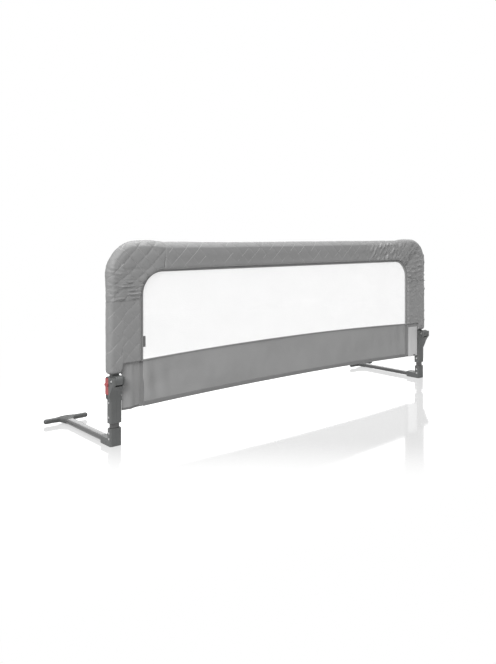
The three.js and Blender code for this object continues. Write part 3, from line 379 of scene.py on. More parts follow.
LOOKS = {
    "dark_plastic": plastic_look("moulded_plastic", (0.094, 0.097, 0.096)),
    # A darker copy of the moulded plastic for the foot: painted shade, which keeps its upward
    # faces dark under the top lamp
    "foot_plastic_shaded": plastic_look("foot_moulding_shaded", (0.062, 0.064, 0.063), 0.46),
    "coated_steel": steel_look("powder_coat", 0.08, 0.0, 0.17, 500.0),
    "bare_steel": steel_look("zinc_plate", 0.5, 1.0, 0.3, 260.0),
    "red_plastic": plastic_look("red_moulding", (0.35, 0.05, 0.052), 0.36),
    # The quilted cloths carry painted highlights along their stitch lines. The corners' copy is a
    # little paler and has the second family's painted highlights stronger: a lit copy of the same
    # cloth.
    "quilted_cloth": cloth_look("quilted_polyester", 0.235, 0.0011, quilted=True),
    "corner_cloth": cloth_look("quilted_corner", 0.24, 0.0011, quilted=True, crossing=0.55),
    "panel_cloth": cloth_look("smooth_polyester", 0.29, 0.0009, creases=0.35),
    "trim_cloth": cloth_look("folded_trim", 0.27, 0.0009),
    "binding_cloth": cloth_look("dark_webbing", 0.15, 0.0016, creases=0.2),
    "net_cloth": cloth_look("white_net", 0.8, 0.0005, creases=0.0),
    # Darker cloth for the panel's head binding and for the seam strips, where its darkness is
    # painted shade of the seam's valley
    "fold_cloth": cloth_look("folded_edge_and_seam_shade", 0.215, 0.0012, creases=0.3),
    "hem_cloth": cloth_look("hem_webbing", 0.19, 0.0016, creases=0.2),
    "label_cloth": cloth_look("pale_label", 0.56, 0.0006, sheen=0.1, creases=0.15),
}


# Meshes


def make_piece(name, vertices, faces, slot, body="rail", uvs=None, smooth=True, look=None):
    """A mesh piece from points in the part's millimetres, with its slot's look or another."""
    mesh = bpy.data.meshes.new(name)
    mesh.from_pydata(to_frame(vertices).tolist(), [], [list(map(int, f)) for f in faces])
    mesh.validate()
    if uvs is not None:
        layer = mesh.uv_layers.new(name="UVMap")
        order = np.zeros(len(mesh.loops), dtype=int)
        mesh.loops.foreach_get("vertex_index", order)
        layer.data.foreach_set("uv", (np.array(uvs)[order] * MM).ravel())
    if smooth:
        mesh.shade_smooth()
    else:
        mesh.shade_flat()
    made = link(name, mesh)
    made.data.materials.append(LOOKS[look or slot])
    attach(made, body)
    return made


def face_out(made):
    """Turns the faces of a closed mesh outward."""
    work = bmesh.new()
    work.from_mesh(made.data)
    bmesh.ops.recalc_face_normals(work, faces=work.faces)
    work.to_mesh(made.data)
    work.free()
    return made


LATTICE = 97


def smooth_noise(x, y, seed):
    """Value noise from -1 to 1 with features one unit wide. x and y are arrays or numbers."""
    lattice = np.random.RandomState(seed).uniform(-1, 1, (LATTICE, LATTICE))
    column, row = np.floor(x).astype(int), np.floor(y).astype(int)
    across, up = x - column, y - row
    across = across * across * (3 - 2 * across)
    up = up * up * (3 - 2 * up)
    left, right = column % LATTICE, (column + 1) % LATTICE
    low, high = row % LATTICE, (row + 1) % LATTICE
    bottom = lattice[left, low] * (1 - across) + lattice[right, low] * across
    top = lattice[left, high] * (1 - across) + lattice[right, high] * across
    return bottom * (1 - up) + top * up


def ease(value):
    value = np.clip(value, 0, 1)
    return value * value * (3 - 2 * value)


def hump(value, middle, reach):
    """1 at the middle, and less to both sides."""
    return np.exp(-(((value - middle) / reach) ** 2))


def run_lengths(points):
    """The length along a flat path up to each of its points."""
    return np.concatenate([[0], np.cumsum(np.hypot(*np.diff(points, axis=0).T))])


# Padded band


def section(width, tube_depth, power=2.0):
    """Stations across one face of the band: length along the cloth, depth from the outer face
    and half thickness. A power below 2 makes the rounded shoulder flatter."""
    turn = np.linspace(0, PI / 2, 60)
    depth = PAD * (1 - np.cos(turn) ** (2 / power))
    half = PAD * np.sin(turn) ** (2 / power)
    shoulder = width - EDGE_RUN
    flat = np.linspace(PAD, shoulder, 120)[1:]
    fall = ease((flat - tube_depth) / (shoulder - tube_depth))
    edge = np.linspace(0, PI / 2, 40)[1:]
    depth = np.concatenate([depth, flat, shoulder + EDGE_RUN * np.sin(edge)])
    rounded = EDGE_HALF + (EDGE_FULL - EDGE_HALF) * np.cos(edge)
    half = np.concatenate([half, PAD - (PAD - EDGE_FULL) * fall, rounded])
    return run_lengths(np.stack([depth, half], axis=1)), depth, half


def rim(across):
    """How far the relief shows at a distance from the outer face, where the cloth is taut."""
    return RIM_LEAST + (1 - RIM_LEAST) * ease((across - RIM_FROM) / RIM_RUN)


def lean(depth, facing):
    """The front face stands a little further out towards its inner edge."""
    return LEAN * np.clip(depth - LEAN_FROM, -10, 45) * (facing < 0)


def quilt(along, across, seed, puff, crossing):
    """Relief of the quilting in millimetres, creased along the sewn diamonds. crossing is the
    share of the second family of lines."""
    plus, minus = along + across, along - across
    first = np.abs((plus + CELL / 2) % CELL - CELL / 2) / math.sqrt(2)
    second = np.abs((minus + CELL / 2) % CELL - CELL / 2) / math.sqrt(2)
    sharp = np.exp(-first / CREASE_REACH) + crossing * np.exp(-second / CREASE_REACH)
    broad = 1 - np.abs(np.sin(PI * plus / CELL) * np.sin(PI * minus / CELL))
    depth = 1 + 0.45 * smooth_noise(along / 60, across / 40, seed)
    pucker = smooth_noise(plus / 5, minus / 5, seed + 1) * np.exp(-np.minimum(first, second) / 7)
    return -depth * (0.95 * np.minimum(sharp, 1.1) + puff * broad) + 0.35 * pucker


def padded_band(
    name, place, length, width_at, tube_depth_at, extra, closed_to,
    sewn_at=None, gain=1.0, puff=0.3, facet=2.0, crossing=0.7, plain_from=200.0,
):
    """A closed padded skin in rings, each at a share of the length.

    Depth is counted inward from the outer face, and across is the same along the cloth.
    place(share, depth) gives (x, z), and tube_depth_at(share) the depth of the tube's middle.
    extra(share, depth, across, facing) adds relief, in front where facing is -1.
    closed_to(share, depth) is 0 where an end is drawn in on its tube and 1 elsewhere.
    sewn_at(share, across) is the place on the flat cloth. gain, puff and crossing shape the
    quilting, which is weaker beyond plain_from. A facet below 2 flattens the front shoulder.
    """
    count = int(round(section(width_at(0.0), tube_depth_at(0.0))[0][-1] / STEP)) + 1
    points, uvs, sums = [], [], []
    for share in np.array(ring_shares(length)):
        width, centre = width_at(share), tube_depth_at(share)
        halves = []
        for sign, seed, power in ((-1, 5, facet), (1, 11, 2.0)):
            run, depth, half = section(width, centre, power)
            at = np.linspace(0, run[-1], count)
            spot = np.interp(at, run, depth)
            thick = np.interp(at, run, half)
            slope = np.gradient(spot, at), np.gradient(thick, at)
            size = np.hypot(*slope)
            out_depth, out_half = -slope[1] / size, slope[0] / size
            out_depth[0], out_half[0] = -1.0, 0.0
            sewn = sewn_at(share, at) if sewn_at else (np.full_like(spot, share * length), at)
            shown = rim(at) * (1 - 0.6 * ease((at - plain_from) / 25))
            relief = gain * shown * quilt(*sewn, seed, puff, crossing)
            relief = relief + extra(share, spot, at, sign)
            relief = relief * (0.25 + 0.75 * ease((run[-1] - at) / 8))
            new_half = np.maximum(thick + out_half * relief, 0.4)
            lip = tube_bore(spot, centre)
            new_half = lip + (np.maximum(new_half, lip) - lip) * closed_to(share, spot)
            new_half[0] = 0.0
            x, z = place(share, spot + out_depth * relief)
            ring = np.stack([x, sign * new_half, z], axis=1)
            flat = np.stack([sewn[0], sewn[1] + (0 if sign < 0 else BACK_FACE)], axis=1)
            halves.append((ring, flat, relief))
        for store, front, back in zip((points, uvs, sums), *halves):
            store.append(np.concatenate([front, back[:0:-1]]))
    around = points[0].shape[0]
    relief = np.array(sums)
    faces = []
    for k in range(len(points) - 1):
        for i in range(around):
            j = (i + 1) % around
            a, b = k * around + i, k * around + j
            c, d = a + around, b + around
            if relief[k, i] + relief[k + 1, j] < relief[k, j] + relief[k + 1, i]:
                faces += [(a, d, b), (a, c, d)]
            else:
                faces += [(a, c, b), (b, c, d)]
    points, uvs = np.concatenate(points), np.concatenate(uvs)
    return face_out(make_piece(name, points, faces, "quilted_cloth", uvs=uvs))


def tube_bore(depth, centre):
    """Half thickness of the frame tube's oval at a depth, or a closed edge beside it."""
    off = np.maximum(np.abs(depth - centre) - (TUBE_HALF - TUBE_ROUND), 0)
    inside = np.sqrt(np.maximum((TUBE_ROUND + BORE_EASE) ** 2 - off**2, 0))
    return np.maximum(inside, CLOSED_HALF)


def ring_shares(length):
    """Shares along a piece, with closer rings at its drawn-in ends."""
    near = [distance / length for distance in CLOSE_RINGS]
    even = list(np.linspace(0, 1, int(round(length / STEP)) + 1))
    return sorted(even + near + [1 - share for share in near])


def seam_groove(share, length, full, low=True):
    """How full the band is at a sewn end, from full up to 1 over a few millimetres. low is
    false where the lower end isn't sewn."""
    distance = (min(share, 1 - share) if low else 1 - share) * length
    if distance < 1e-9:
        return 0.0
    return full + (1 - full) * ease(distance / SEAM_RUN)


def gathers(along, depth, seed, pitch, narrow):
    """Ridges that run across the band, uneven in height, length and spacing."""
    wander = 7 * smooth_noise(depth / 45, along / 60, seed)
    ridge = (0.5 + 0.5 * np.cos(2 * PI * (along + wander) / pitch)) ** narrow
    fine = (0.5 + 0.5 * np.cos(2 * PI * (along + 1.7 * wander) / (pitch * 0.61) + 1.3)) ** 2
    height = np.maximum(0.35 + 1.3 * smooth_noise(along / 11, depth / 12, seed + 3), 0.0)
    other = np.maximum(0.3 + 1.0 * smooth_noise(along / 9, depth / 13, seed + 4), 0.0)
    return 2.0 * height * ridge + 0.9 * other * fine - 0.8


def side_band(side, sign):
    """An upright. The photograph's right one is gathered, the left one hardly."""
    top = SIDE_TOP - GAP
    length = top - SLEEVE_FOOT
    right = sign > 0
    seed = 40 if right else 20
    pitch, narrow = (21.0, 1.2) if right else (11.0, 2.6)
    strength = 0.85 if right else 0.45
    seam_reach, crease_at, crease_run = 38.0, 24.0, 9.0
    thin_run, full_run = 2.5, 8.0

    def place(share, depth):
        rise = ease((depth - BAND_FOOT_FROM) / (BAND_FOOT_TO - BAND_FOOT_FROM))
        near = np.clip(1 - depth / FOOT_ROUND, 0, 1)
        low = SLEEVE_FOOT + FOOT_ROUND * (1 - np.sqrt(1 - near**2))
        low = low + (SIDE_FOOT - SLEEVE_FOOT) * rise
        return sign * (HALF + PAD_OUT - depth), low + (top - low) * share

    def extra(share, depth, across, facing):
        up = share * length
        near_seam = math.exp(-(length - up) / seam_reach)
        amount = 1.9 * (0.5 + near_seam) if right else 0.1
        amount = amount + 0.3 * hump(across, crease_at, crease_run)
        folds = gathers(up, depth, seed + facing, pitch, narrow)
        soft = smooth_noise(depth / 26, up / 34, seed + 7 + facing)
        return strength * amount * rim(across) * folds + 0.4 * soft

    def closed_to(share, depth):
        up = share * length
        if share > 0.5:
            return seam_groove(share, length, 0.99, low=False)
        run = full_run - (full_run - thin_run) * ease((depth - BAND_FOOT_FROM) / 12)
        return np.sqrt(1 - (1 - np.clip(up / run, 0, 1)) ** 2)

    made = padded_band(
        f"{side}_side_padding", place, length, lambda share: SIDE_WIDTH,
        lambda share: PAD_OUT, extra, closed_to,
    )
    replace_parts(made, f"{side}_side_sleeve")
    return made


def top_band():
    """The top length, gathered towards its right end and fuller at its left end."""
    half = CORNER_END - GAP
    length = 2 * half
    gathered_reach, seam_reach, swell_reach, swell_high = 230.0, 22.0, 150.0, 3.2
    pitch, narrow = 23.0, 1.3

    def place(share, depth):
        return np.full_like(depth, half - length * share), TOP_TUBE + PAD_UP - depth

    def extra(share, depth, across, facing):
        x = half - length * share
        right = hump(x, half, gathered_reach)
        left = math.exp(-(x + half) / seam_reach)
        folds = gathers(x + 0.5 * depth, depth, 60 + facing, pitch, narrow)
        soft = smooth_noise(depth / 30, x / 60 + 40, 70 + facing)
        taut = ease((across - 12) / 14)
        swell = swell_high * hump(x, -half, swell_reach)
        gathered = (2.7 * right + 0.2 * left + 0.02) * taut * folds
        return swell + lean(depth, facing) + gathered + 0.35 * soft

    made = padded_band(
        "top_padding", place, length, lambda share: TOP_WIDTH, lambda share: PAD_UP, extra,
        lambda share, depth: seam_groove(share, length, 0.84), facet=1.25, crossing=0.35,
        plain_from=52.0,
    )
    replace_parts(made, "top_sleeve")
    return made


def bent_path(start, turn, radius, end, angle=PI / 2):
    """A straight run up, a quarter turn and a straight run in: a function from the share of its
    length to (x, z), and its length."""
    first = np.stack([np.full(60, start[0]), np.linspace(start[1], turn[1], 60)], axis=1)
    angles = np.linspace(0, angle, 240)[1:]
    arc = np.add(turn, radius * np.stack([np.cos(angles), np.sin(angles)], axis=1))
    points = np.concatenate([first, arc])
    if end[0] < points[-1, 0] - 1e-6:
        run = np.linspace(points[-1, 0], end[0], 60)[1:]
        points = np.concatenate([points, np.stack([run, np.full(59, end[1])], axis=1)])
    length = run_lengths(points)

    def at(share):
        return np.array([np.interp(share * length[-1], length, line) for line in points.T])

    return at, length[-1]


def corner_band(side, sign):
    """A corner. The photograph's right one is gathered, the left one puffed out and creased."""
    turn = HALF - BEND, TOP_TUBE - BEND
    outer, length = bent_path((HALF, SIDE_TOP), turn, BEND, (CORNER_END, TOP_TUBE))
    edge = TRIM_WIDE + GAP
    inner_x, inner_z, inner_round = OPENING_HALF + edge, OPENING_TOP + edge, OPENING_ROUND + edge
    turn_x, turn_z = inner_x - inner_round, inner_z - inner_round
    inner, _ = bent_path(
        (inner_x, SIDE_TOP), (turn_x, turn_z), inner_round, (CORNER_END, inner_z),
        math.acos(max((CORNER_END - turn_x) / inner_round, 0)),
    )
    right = sign > 0
    seed = 100 if right else 80
    pitch, narrow = (20.0, 1.2) if right else (12.5, 2.2)
    low_run = 84 if right else 112
    top_amount = 1.2 if right else 0.16
    even_amount = 1.6 if right else 0.1
    swell_all, swell_left, wider = 2.5, 3.2, 9.0
    pleat_height, pleat_run = 511.0, 4.0
    crease_at, crease_run, seam_reach = 25.0, 3.5, 45.0
    taken_up, taken_up_rise = (0.0 if right else 40.0), 90.0

    def out_at(share):
        return PAD_OUT + (PAD_UP - PAD_OUT) * share + wider * math.sin(PI * share**2)

    def width_at(share):
        return float(np.hypot(*(outer(share) - inner(share)))) + out_at(share)

    def place(share, depth):
        start = outer(share)
        inward = inner(share) - start
        inward = inward / np.hypot(*inward)
        reach = depth - out_at(share)
        return sign * (start[0] + inward[0] * reach), start[1] + inward[1] * reach

    def sewn_at(share, across):
        """The diamonds run straight on from the upright, since the cloth is quilted flat."""
        x, z = place(share, across - ROUND_EXTRA)
        moved = taken_up * ease((z - SIDE_TOP) / taken_up_rise)
        return z - SLEEVE_FOOT + moved, HALF + PAD_OUT - np.abs(x) + ROUND_EXTRA

    def extra(share, depth, across, facing):
        run = share * length
        swell = swell_all * math.sin(PI * share)
        if not right:
            swell += swell_left * ease((share - 0.45) / 0.35)
        _, height = place(share, depth)
        turned = height * ease((0.75 - share) * 4) + run * ease((share - 0.5) * 4)
        folds = gathers(turned, depth, seed + facing, pitch, narrow)
        amount = 1.7 * ease((low_run - run) / 22) + even_amount
        amount = amount + top_amount * math.exp(-(length - run) / seam_reach)
        inner_side = 0.55 + 0.45 * ease((depth - 10) / 50)
        pleat = hump(height, pleat_height, pleat_run) * ease((depth - 30) / 20) * (share < 0.62)
        crease = hump(across, crease_at, crease_run) * hump(share, 0.47, 0.17)
        soft = smooth_noise(depth / 24, run / 30, seed + 9 + facing)
        return (
            swell
            + lean(depth, facing) * ease(share)
            + amount * inner_side * rim(across) * folds
            - 1.3 * pleat
            - 1.8 * crease
            + 0.8 * soft * math.sin(PI * share)
        )

    made = padded_band(
        f"{side}_corner_padding", place, length, width_at, out_at, extra,
        lambda share, depth: seam_groove(share, length, 0.99 if share < 0.5 else 0.955),
        sewn_at, gain=1.5 if right else 1.8, puff=0.6, facet=1.7 if right else 1.25,
    )
    # The corner takes the lit copy of the quilted cloth, with its stronger painted highlights
    made.data.materials[0] = LOOKS["corner_cloth"]
    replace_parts(made, f"{side}_corner_sleeve")
    return made


for side, sign in SIDES:
    side_band(side, sign)
    corner_band(side, sign)
top_band()


# Straps, trim and sheets


def ring_faces(rings, count):
    """Faces between rings of count points each, and a cap at both ends."""
    faces = []
    for k in range(rings - 1):
        for i in range(count):
            a, b = k * count + i, k * count + (i + 1) % count
            faces.append((a, b, b + count, a + count))
    last = (rings - 1) * count
    return faces + [tuple(range(count)), tuple(last + i for i in range(count))]


def sweep(name, path, frames, outline, slot, wobble=None, look=None):
    """A closed strip along a path. frames gives each point's (sideways, forward) directions."""
    points, uvs, run = [], [], 0.0
    girth = run_lengths(outline)
    for k, (spot, (sideways, forward)) in enumerate(zip(path, frames)):
        if k:
            run += float(np.linalg.norm(np.subtract(spot, path[k - 1])))
        for i, (u, v) in enumerate(outline):
            lift = wobble(run, girth[i]) if wobble else 0.0
            grow = 1 + lift / max(math.hypot(u, v), 1)
            points.append(np.add(spot, np.multiply(sideways, u) + np.multiply(forward, v * grow)))
            uvs.append((run, girth[i]))
    faces = ring_faces(len(path), len(outline))
    return face_out(make_piece(name, points, faces, slot, uvs=uvs, look=look))


def rounded_outline(wide, thick, round_at, per_corner=5, dip=0.0, dip_at=0.0, dip_run=1.0):
    """Outline of a strip, wide by thick, with an optional sewn groove along both faces."""
    points = []
    for right, up, start in ((1, -1, -90), (1, 1, 0), (-1, 1, 90), (-1, -1, 180)):
        cx, cy = right * (wide / 2 - round_at), up * (thick / 2 - round_at)
        for i in range(per_corner + 1):
            a = math.radians(start + 90 * i / per_corner)
            points.append((cx + round_at * math.cos(a), cy + round_at * math.sin(a)))
        if right == up:
            face = up * thick / 2
            for u in np.linspace(cx, -cx, 10)[1:-1]:
                groove = dip * math.exp(-((u - dip_at) / dip_run) ** 2)
                points.append((u, face - math.copysign(groove, face)))
    return np.array(points)


def trim_path():
    inset = TRIM_WIDE / 2
    half, top, turn = OPENING_HALF + inset, OPENING_TOP + inset, OPENING_ROUND + inset
    right = [(half, 0, z) for z in np.linspace(BAND_FOOT, top - turn, 50)]
    angles = np.linspace(0, PI / 2, 30)[1:]
    arc = [(half - turn + turn * math.cos(a), 0, top - turn + turn * math.sin(a)) for a in angles]
    across = np.linspace(half - turn, -half + turn, 260)[1:-1]
    points = right + arc + [(x, 0, top) for x in across]
    points += [(-x, y, z) for x, y, z in reversed(right + arc)]
    return points


def path_frames(points):
    """The directions sideways from a path and forward."""
    frames = []
    for k in range(len(points)):
        before, after = points[max(k - 1, 0)], points[min(k + 1, len(points) - 1)]
        dx, dz = after[0] - before[0], after[2] - before[2]
        size = math.hypot(dx, dz)
        frames.append(((dz / size, 0, -dx / size), (0, 1, 0)))
    return frames


path = trim_path()
trim = sweep(
    "opening_edge_trim", path, path_frames(path),
    rounded_outline(TRIM_WIDE - 0.6, TRIM_THICK + 1.4, 2.2, 6, 1.1, -1.6, 0.7),
    "trim_cloth", lambda run, girth: 0.35 * math.sin(run / 5.3) * math.sin(run / 17 + 1),
)
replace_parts(trim, "opening_trim")


# The panel's head and foot bow up in the middle


def head_height(x):
    return BAND_FOOT + HEAD_BOW * (1 - (x / OPENING_HALF) ** 2)


def foot_height(x):
    return PANEL_FOOT + FOOT_BOW * (1 - (x / OPENING_HALF) ** 2)


def bowed_strap(name, node, low_at, tall, thick, look):
    """A strap along the panel's head or foot, above low_at(x)."""
    xs = np.linspace(-OPENING_HALF + 0.3, OPENING_HALF - 0.3, 320)
    line = [(x, 0.5 * math.sin(x / 88.0), low_at(x) + tall / 2) for x in xs]
    made = sweep(
        name, line, path_frames(line),
        rounded_outline(tall, thick, thick * 0.42, 5, 0.35, tall * 0.32, 0.6),
        "binding_cloth",
        lambda run, girth: 0.25 * math.sin(run / 7.1) * math.sin(run / 31 + girth / 9),
        look,
    )
    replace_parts(made, node)
    return made


binding = bowed_strap(
    "panel_top_binding", "panel_binding", head_height, BINDING_TALL, 4.2, "fold_cloth"
)
hem = bowed_strap("panel_hem_webbing", "hem_strap", foot_height, HEM_TALL, 4.0, "hem_cloth")


def sheet_grid(name, xs, rows, edges_at, push, slot, thick=None, shift=None):
    """One sheet of cloth. edges_at(x) gives its lowest and highest point, push(x, z, share) is
    how far it stands back and shift(x, z) how far it is moved along."""
    points, uvs, faces = [], [], []
    for x in xs:
        low, high = edges_at(x)
        for share in np.linspace(0, 1, rows + 1):
            z = low + (high - low) * share
            points.append((x + (shift(x, z) if shift else 0.0), push(x, z, share), z))
            uvs.append((x, z))
    for i in range(len(xs) - 1):
        for j in range(rows):
            a = i * (rows + 1) + j
            faces.append((a, a + rows + 1, a + rows + 2, a + 1))
    made = make_piece(name, points, faces, slot, uvs=uvs)
    if thick:
        shell = made.modifiers.new("thickness", "SOLIDIFY")
        shell.thickness = thick * MM
        shell.offset = 0
    return made


def panel_push(x, z, share):
    """Waves and slack between the straps, and tucks at both ends."""
    held = math.sin(PI * share)
    wave = math.sin(PI * 5 * (x + OPENING_HALF) / (2 * OPENING_HALF))
    ends = math.exp(-(OPENING_HALF - abs(x)) / 52)
    tuck = 4.6 * ends * math.sin(x / 8.5 + 2.2 * share) * (0.2 + 0.8 * held)
    slack = 1.6 * smooth_noise(x / 85, z / 50, 200) + 0.7 * smooth_noise(x / 24, z / 40, 201)
    return (3 * wave + slack) * held + tuck


panel = sheet_grid(
    "lower_panel_cloth", np.linspace(-OPENING_HALF, OPENING_HALF, 380), 40,
    lambda x: (foot_height(x) + HEM_TALL - 1.5, head_height(x) + 1.2), panel_push,
    "panel_cloth", 1.4,
)
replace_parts(panel, "lower_panel")

PLEATS = 6.3
WING_STEP = 4.0
STEP_FROM = 690.0
STEP_HEIGHT = 203.0
SEAM_MIDDLE = 633.0
SEAM_WIDE = 17.0
WING_HEM_TALL = 7.0


def wing_push(sign):
    """How far a wing stands back: it lies in front of the housing at its far edge."""

    def push(x, z, share):
        near = (abs(x) - OPENING_HALF) / (WING_FAR - OPENING_HALF)
        held = math.sin(PI * min(max(near, 0), 1)) ** 0.6
        folds = math.sin(near * PLEATS + 2.4 * share + (0.6 if sign < 0 else 1.4))
        soft = smooth_noise(x / 16, z / 55, 230 + sign)
        gathered = 0.7 * math.exp(-(1 - share) * 7) * math.sin(x / 2.3)
        drop = held * (1.4 * folds * (1 - 0.35 * share) + 1.5 * soft) + gathered * held
        return 3.0 + drop - 8.5 * ease((near - 0.05) / 0.75)

    return push


def wing_shift(x, z):
    """A wing's far edge steps outward above the hinge housing."""
    return x / abs(x) * WING_STEP * ease((z - STEP_HEIGHT) / 5) * (abs(x) > STEP_FROM)


def seam_strip(side, sign):
    """The folded edge where a wing is sewn to the panel, in darker cloth: painted shade of the
    valley at the seam.
    """
    heights = np.linspace(PANEL_FOOT + 2, BAND_FOOT - 1, 60)
    line = [(sign * SEAM_MIDDLE, 1.6 + 0.4 * math.sin(z / 19), z) for z in heights]
    return sweep(
        f"{side}_panel_seam", line, [((1, 0, 0), (0, 1, 0))] * len(line),
        rounded_outline(SEAM_WIDE, 2.4, 1.1, 4, 0.5, 0.0, 1.0), "panel_cloth",
        lambda run, girth: 0.3 * math.sin(run / 7.3 + girth / 5), "fold_cloth",
    )


def wing_hem(side, sign):
    push = wing_push(sign)
    xs = np.linspace(OPENING_HALF + 0.6, WING_FAR - 0.5, 70)
    height = PANEL_FOOT + 3.6
    line = [(sign * x, push(sign * x, PANEL_FOOT, 0.0) - 0.2, height) for x in xs]
    made = sweep(
        f"{side}_wing_hem", line, path_frames(line),
        rounded_outline(WING_HEM_TALL, 3.0, 1.2, 4, 0.3, 2.4, 0.5), "binding_cloth",
        lambda run, girth: 0.2 * math.sin(run / 6.1),
    )
    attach(made, "rail")
    return made


for side, sign in SIDES:
    xs = np.linspace(OPENING_HALF + 0.3, WING_FAR, 80)
    wing = sheet_grid(
        f"{side}_wing_cloth", (sign * xs)[::sign], 70,
        lambda x: (PANEL_FOOT + 0.5, SIDE_FOOT + 1.6), wing_push(sign), "panel_cloth", 1.5,
        wing_shift,
    )
    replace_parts(wing, f"{side}_panel_wing")
    wing_hem(side, sign)
    seam_strip(side, sign)

LABEL_FROM = 645.5
LABEL_TO = 701.5
LABEL_TOP = 222.5


def label_push(x, z, share):
    """The label follows the wing, in front of it."""
    return wing_push(1)(x, z, 0.06 + 0.9 * share) * 0.55 - 4.0


label = sheet_grid(
    "care_label_blank", np.linspace(LABEL_FROM, LABEL_TO, 26), 44,
    lambda x: (PANEL_FOOT, LABEL_TOP), label_push, "label_cloth", 0.5,
)
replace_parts(label, "care_label")


# Net


def arch_limits(x):
    """Lowest and highest point of the net at x."""
    off = np.maximum(np.abs(x) - (OPENING_HALF - OPENING_ROUND), 0)
    high = OPENING_TOP - OPENING_ROUND + np.sqrt(np.maximum(OPENING_ROUND**2 - off**2, 0)) + 1
    return head_height(x) + BINDING_TALL - 1, high


def clipped(start, end):
    """The part of a straight thread that lies inside the arch, or None."""
    shares = np.linspace(0, 1, 321)
    x, z = (a + (b - a) * shares for a, b in zip(start, end))
    low, high = arch_limits(x)
    inside = np.flatnonzero((np.abs(x) <= OPENING_HALF) & (low <= z) & (z <= high))
    if len(inside) < 2:
        return None
    return [(x[i], z[i]) for i in (inside[0], inside[-1])]


def net_threads():
    """Threads that lean to both sides, each a square bar, as points and faces."""
    low, high = BAND_FOOT, OPENING_TOP + 2
    run = (high - low) / math.tan(math.radians(NET_LEAN))
    step = NET_PITCH / math.sin(math.radians(NET_LEAN))
    half = NET_THREAD / 2
    points, faces = [], []
    for way in (-1, 1):
        x = -OPENING_HALF - run
        while x < OPENING_HALF + run:
            ends = clipped((x, low), (x + way * run, high))
            x += step
            if ends is None:
                continue
            (x0, z0), (x1, z1) = ends
            size = math.hypot(x1 - x0, z1 - z0)
            nx, nz = (z1 - z0) / size * half, -(x1 - x0) / size * half
            y = way * NET_THREAD * 0.3
            base = len(points)
            for px, pz in ((x0, z0), (x1, z1)):
                points += [(px + nx, y, pz + nz), (px, y - half, pz)]
                points += [(px - nx, y, pz - nz), (px, y + half, pz)]
            faces += [tuple(base + i for i in face) for face in ring_faces(2, 4)]
    return points, faces


def trim_tab():
    """A small blank tab of folded ribbon, sewn into the left side of the trim."""
    along = np.linspace(-1.5, 8.5, 12)
    line = [(-OPENING_HALF + u, 0.4 * math.sin(u / 3), TAB_HEIGHT) for u in along]
    return sweep(
        "trim_tab_blank", line, [((0, 0, 1), (0, 1, 0))] * len(line),
        rounded_outline(TAB_TALL, 1.6, 0.7, 3), "binding_cloth",
        lambda run, girth: 0.12 * math.sin(girth / 2.7),
    )


points, faces = net_threads()
flat = [(x, z) for x, _, z in points]
threads = make_piece("net_threads", points, faces, "net_cloth", uvs=flat, smooth=False)
face_out(threads)
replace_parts(threads, "net")
gauze = Look("net_gauze", Roughness=0.8, Alpha=0.1)
gauze.colour(
    gauze.ramp(gauze.noise(gauze.place(), 300.0), ((0.3, grey(0.88)), (0.7, grey(0.95))))
)
net_xs = np.linspace(-OPENING_HALF, OPENING_HALF, 200)
haze = sheet_grid("net_sheet", net_xs, 12, arch_limits, lambda x, z, share: 0.0, "net_cloth")
haze.data.materials[0] = gauze.material
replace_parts(haze, "net")
area = sum(
    (arch_limits(x)[1] - arch_limits(x)[0]) * (net_xs[1] - net_xs[0]) for x in net_xs[:-1]
) / 1e6
trim_tab()


# Hard pieces


def bulge_front(z):
    """Front of the hinge's bulge at a height: upright at the top, then a curve to the housing."""
    t = np.linspace(0, 1, 40)
    weights = np.stack([(1 - t) ** 2, 2 * t * (1 - t), t**2], axis=1)
    y, height = (weights @ np.array(BULGE_CURVE)).T
    return float(np.interp(-z, -height, y))


def soften_hinge(node, sign, point):
    """Rounds the inner front edge of a hinge, sets the walls of its bay and its knuckle further
    in, makes its pivot's heads smaller and lowers its slider's top. point is in the part's
    millimetres."""
    x, y, z = point
    inward = HALF - sign * x
    knuckle = "knuckle" in node
    if "slider" in node:
        return x, y, z - SLIDER_LOWER if z > SLIDER_TOP else z
    if "pivot" in node:
        out, up = y - PIVOT_BACK, z - PIVOT_UP
        share = PIVOT_TURNED_DOWN if math.hypot(out, up) > PIVOT_HEAD else 1.0
        return x, PIVOT_BACK + out * share, PIVOT_UP + up * share
    on_wall = abs(inward - BAY_WALL) < 0.25 and BAY_FROM < z < BAY_TO
    if on_wall or knuckle and 13 < inward < 15 and z < KNUCKLE_TOP:
        return sign * (HALF - inward + (KNUCKLE_INWARD if knuckle else BAY_INWARD)), y, z
    if "shell_inner" in node and z > BULGE_FOOT + 1:
        radius = 6 + 4 * ease((z - BULGE_FOOT) / 25)
        beside, ahead = radius - (INNER_FACE - inward), radius - (y - bulge_front(z))
        reach = math.hypot(beside, ahead)
        if beside > 0 and ahead > 0 and reach > radius:
            beside, ahead = beside * radius / reach, ahead * radius / reach
            inward, y = INNER_FACE - radius + beside, bulge_front(z) + radius - ahead
            return sign * (HALF - inward), y, z
    return point


def stand_in(node, ending, mesh, slot):
    """A piece with a changed copy of a node's mesh, which stands for it on its body."""
    mesh.materials.clear()
    mesh.materials.append(LOOKS[slot])
    made = link(node + ending, mesh)
    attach(made, frame["nodes"][node]["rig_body"])
    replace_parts(made, node)
    return made


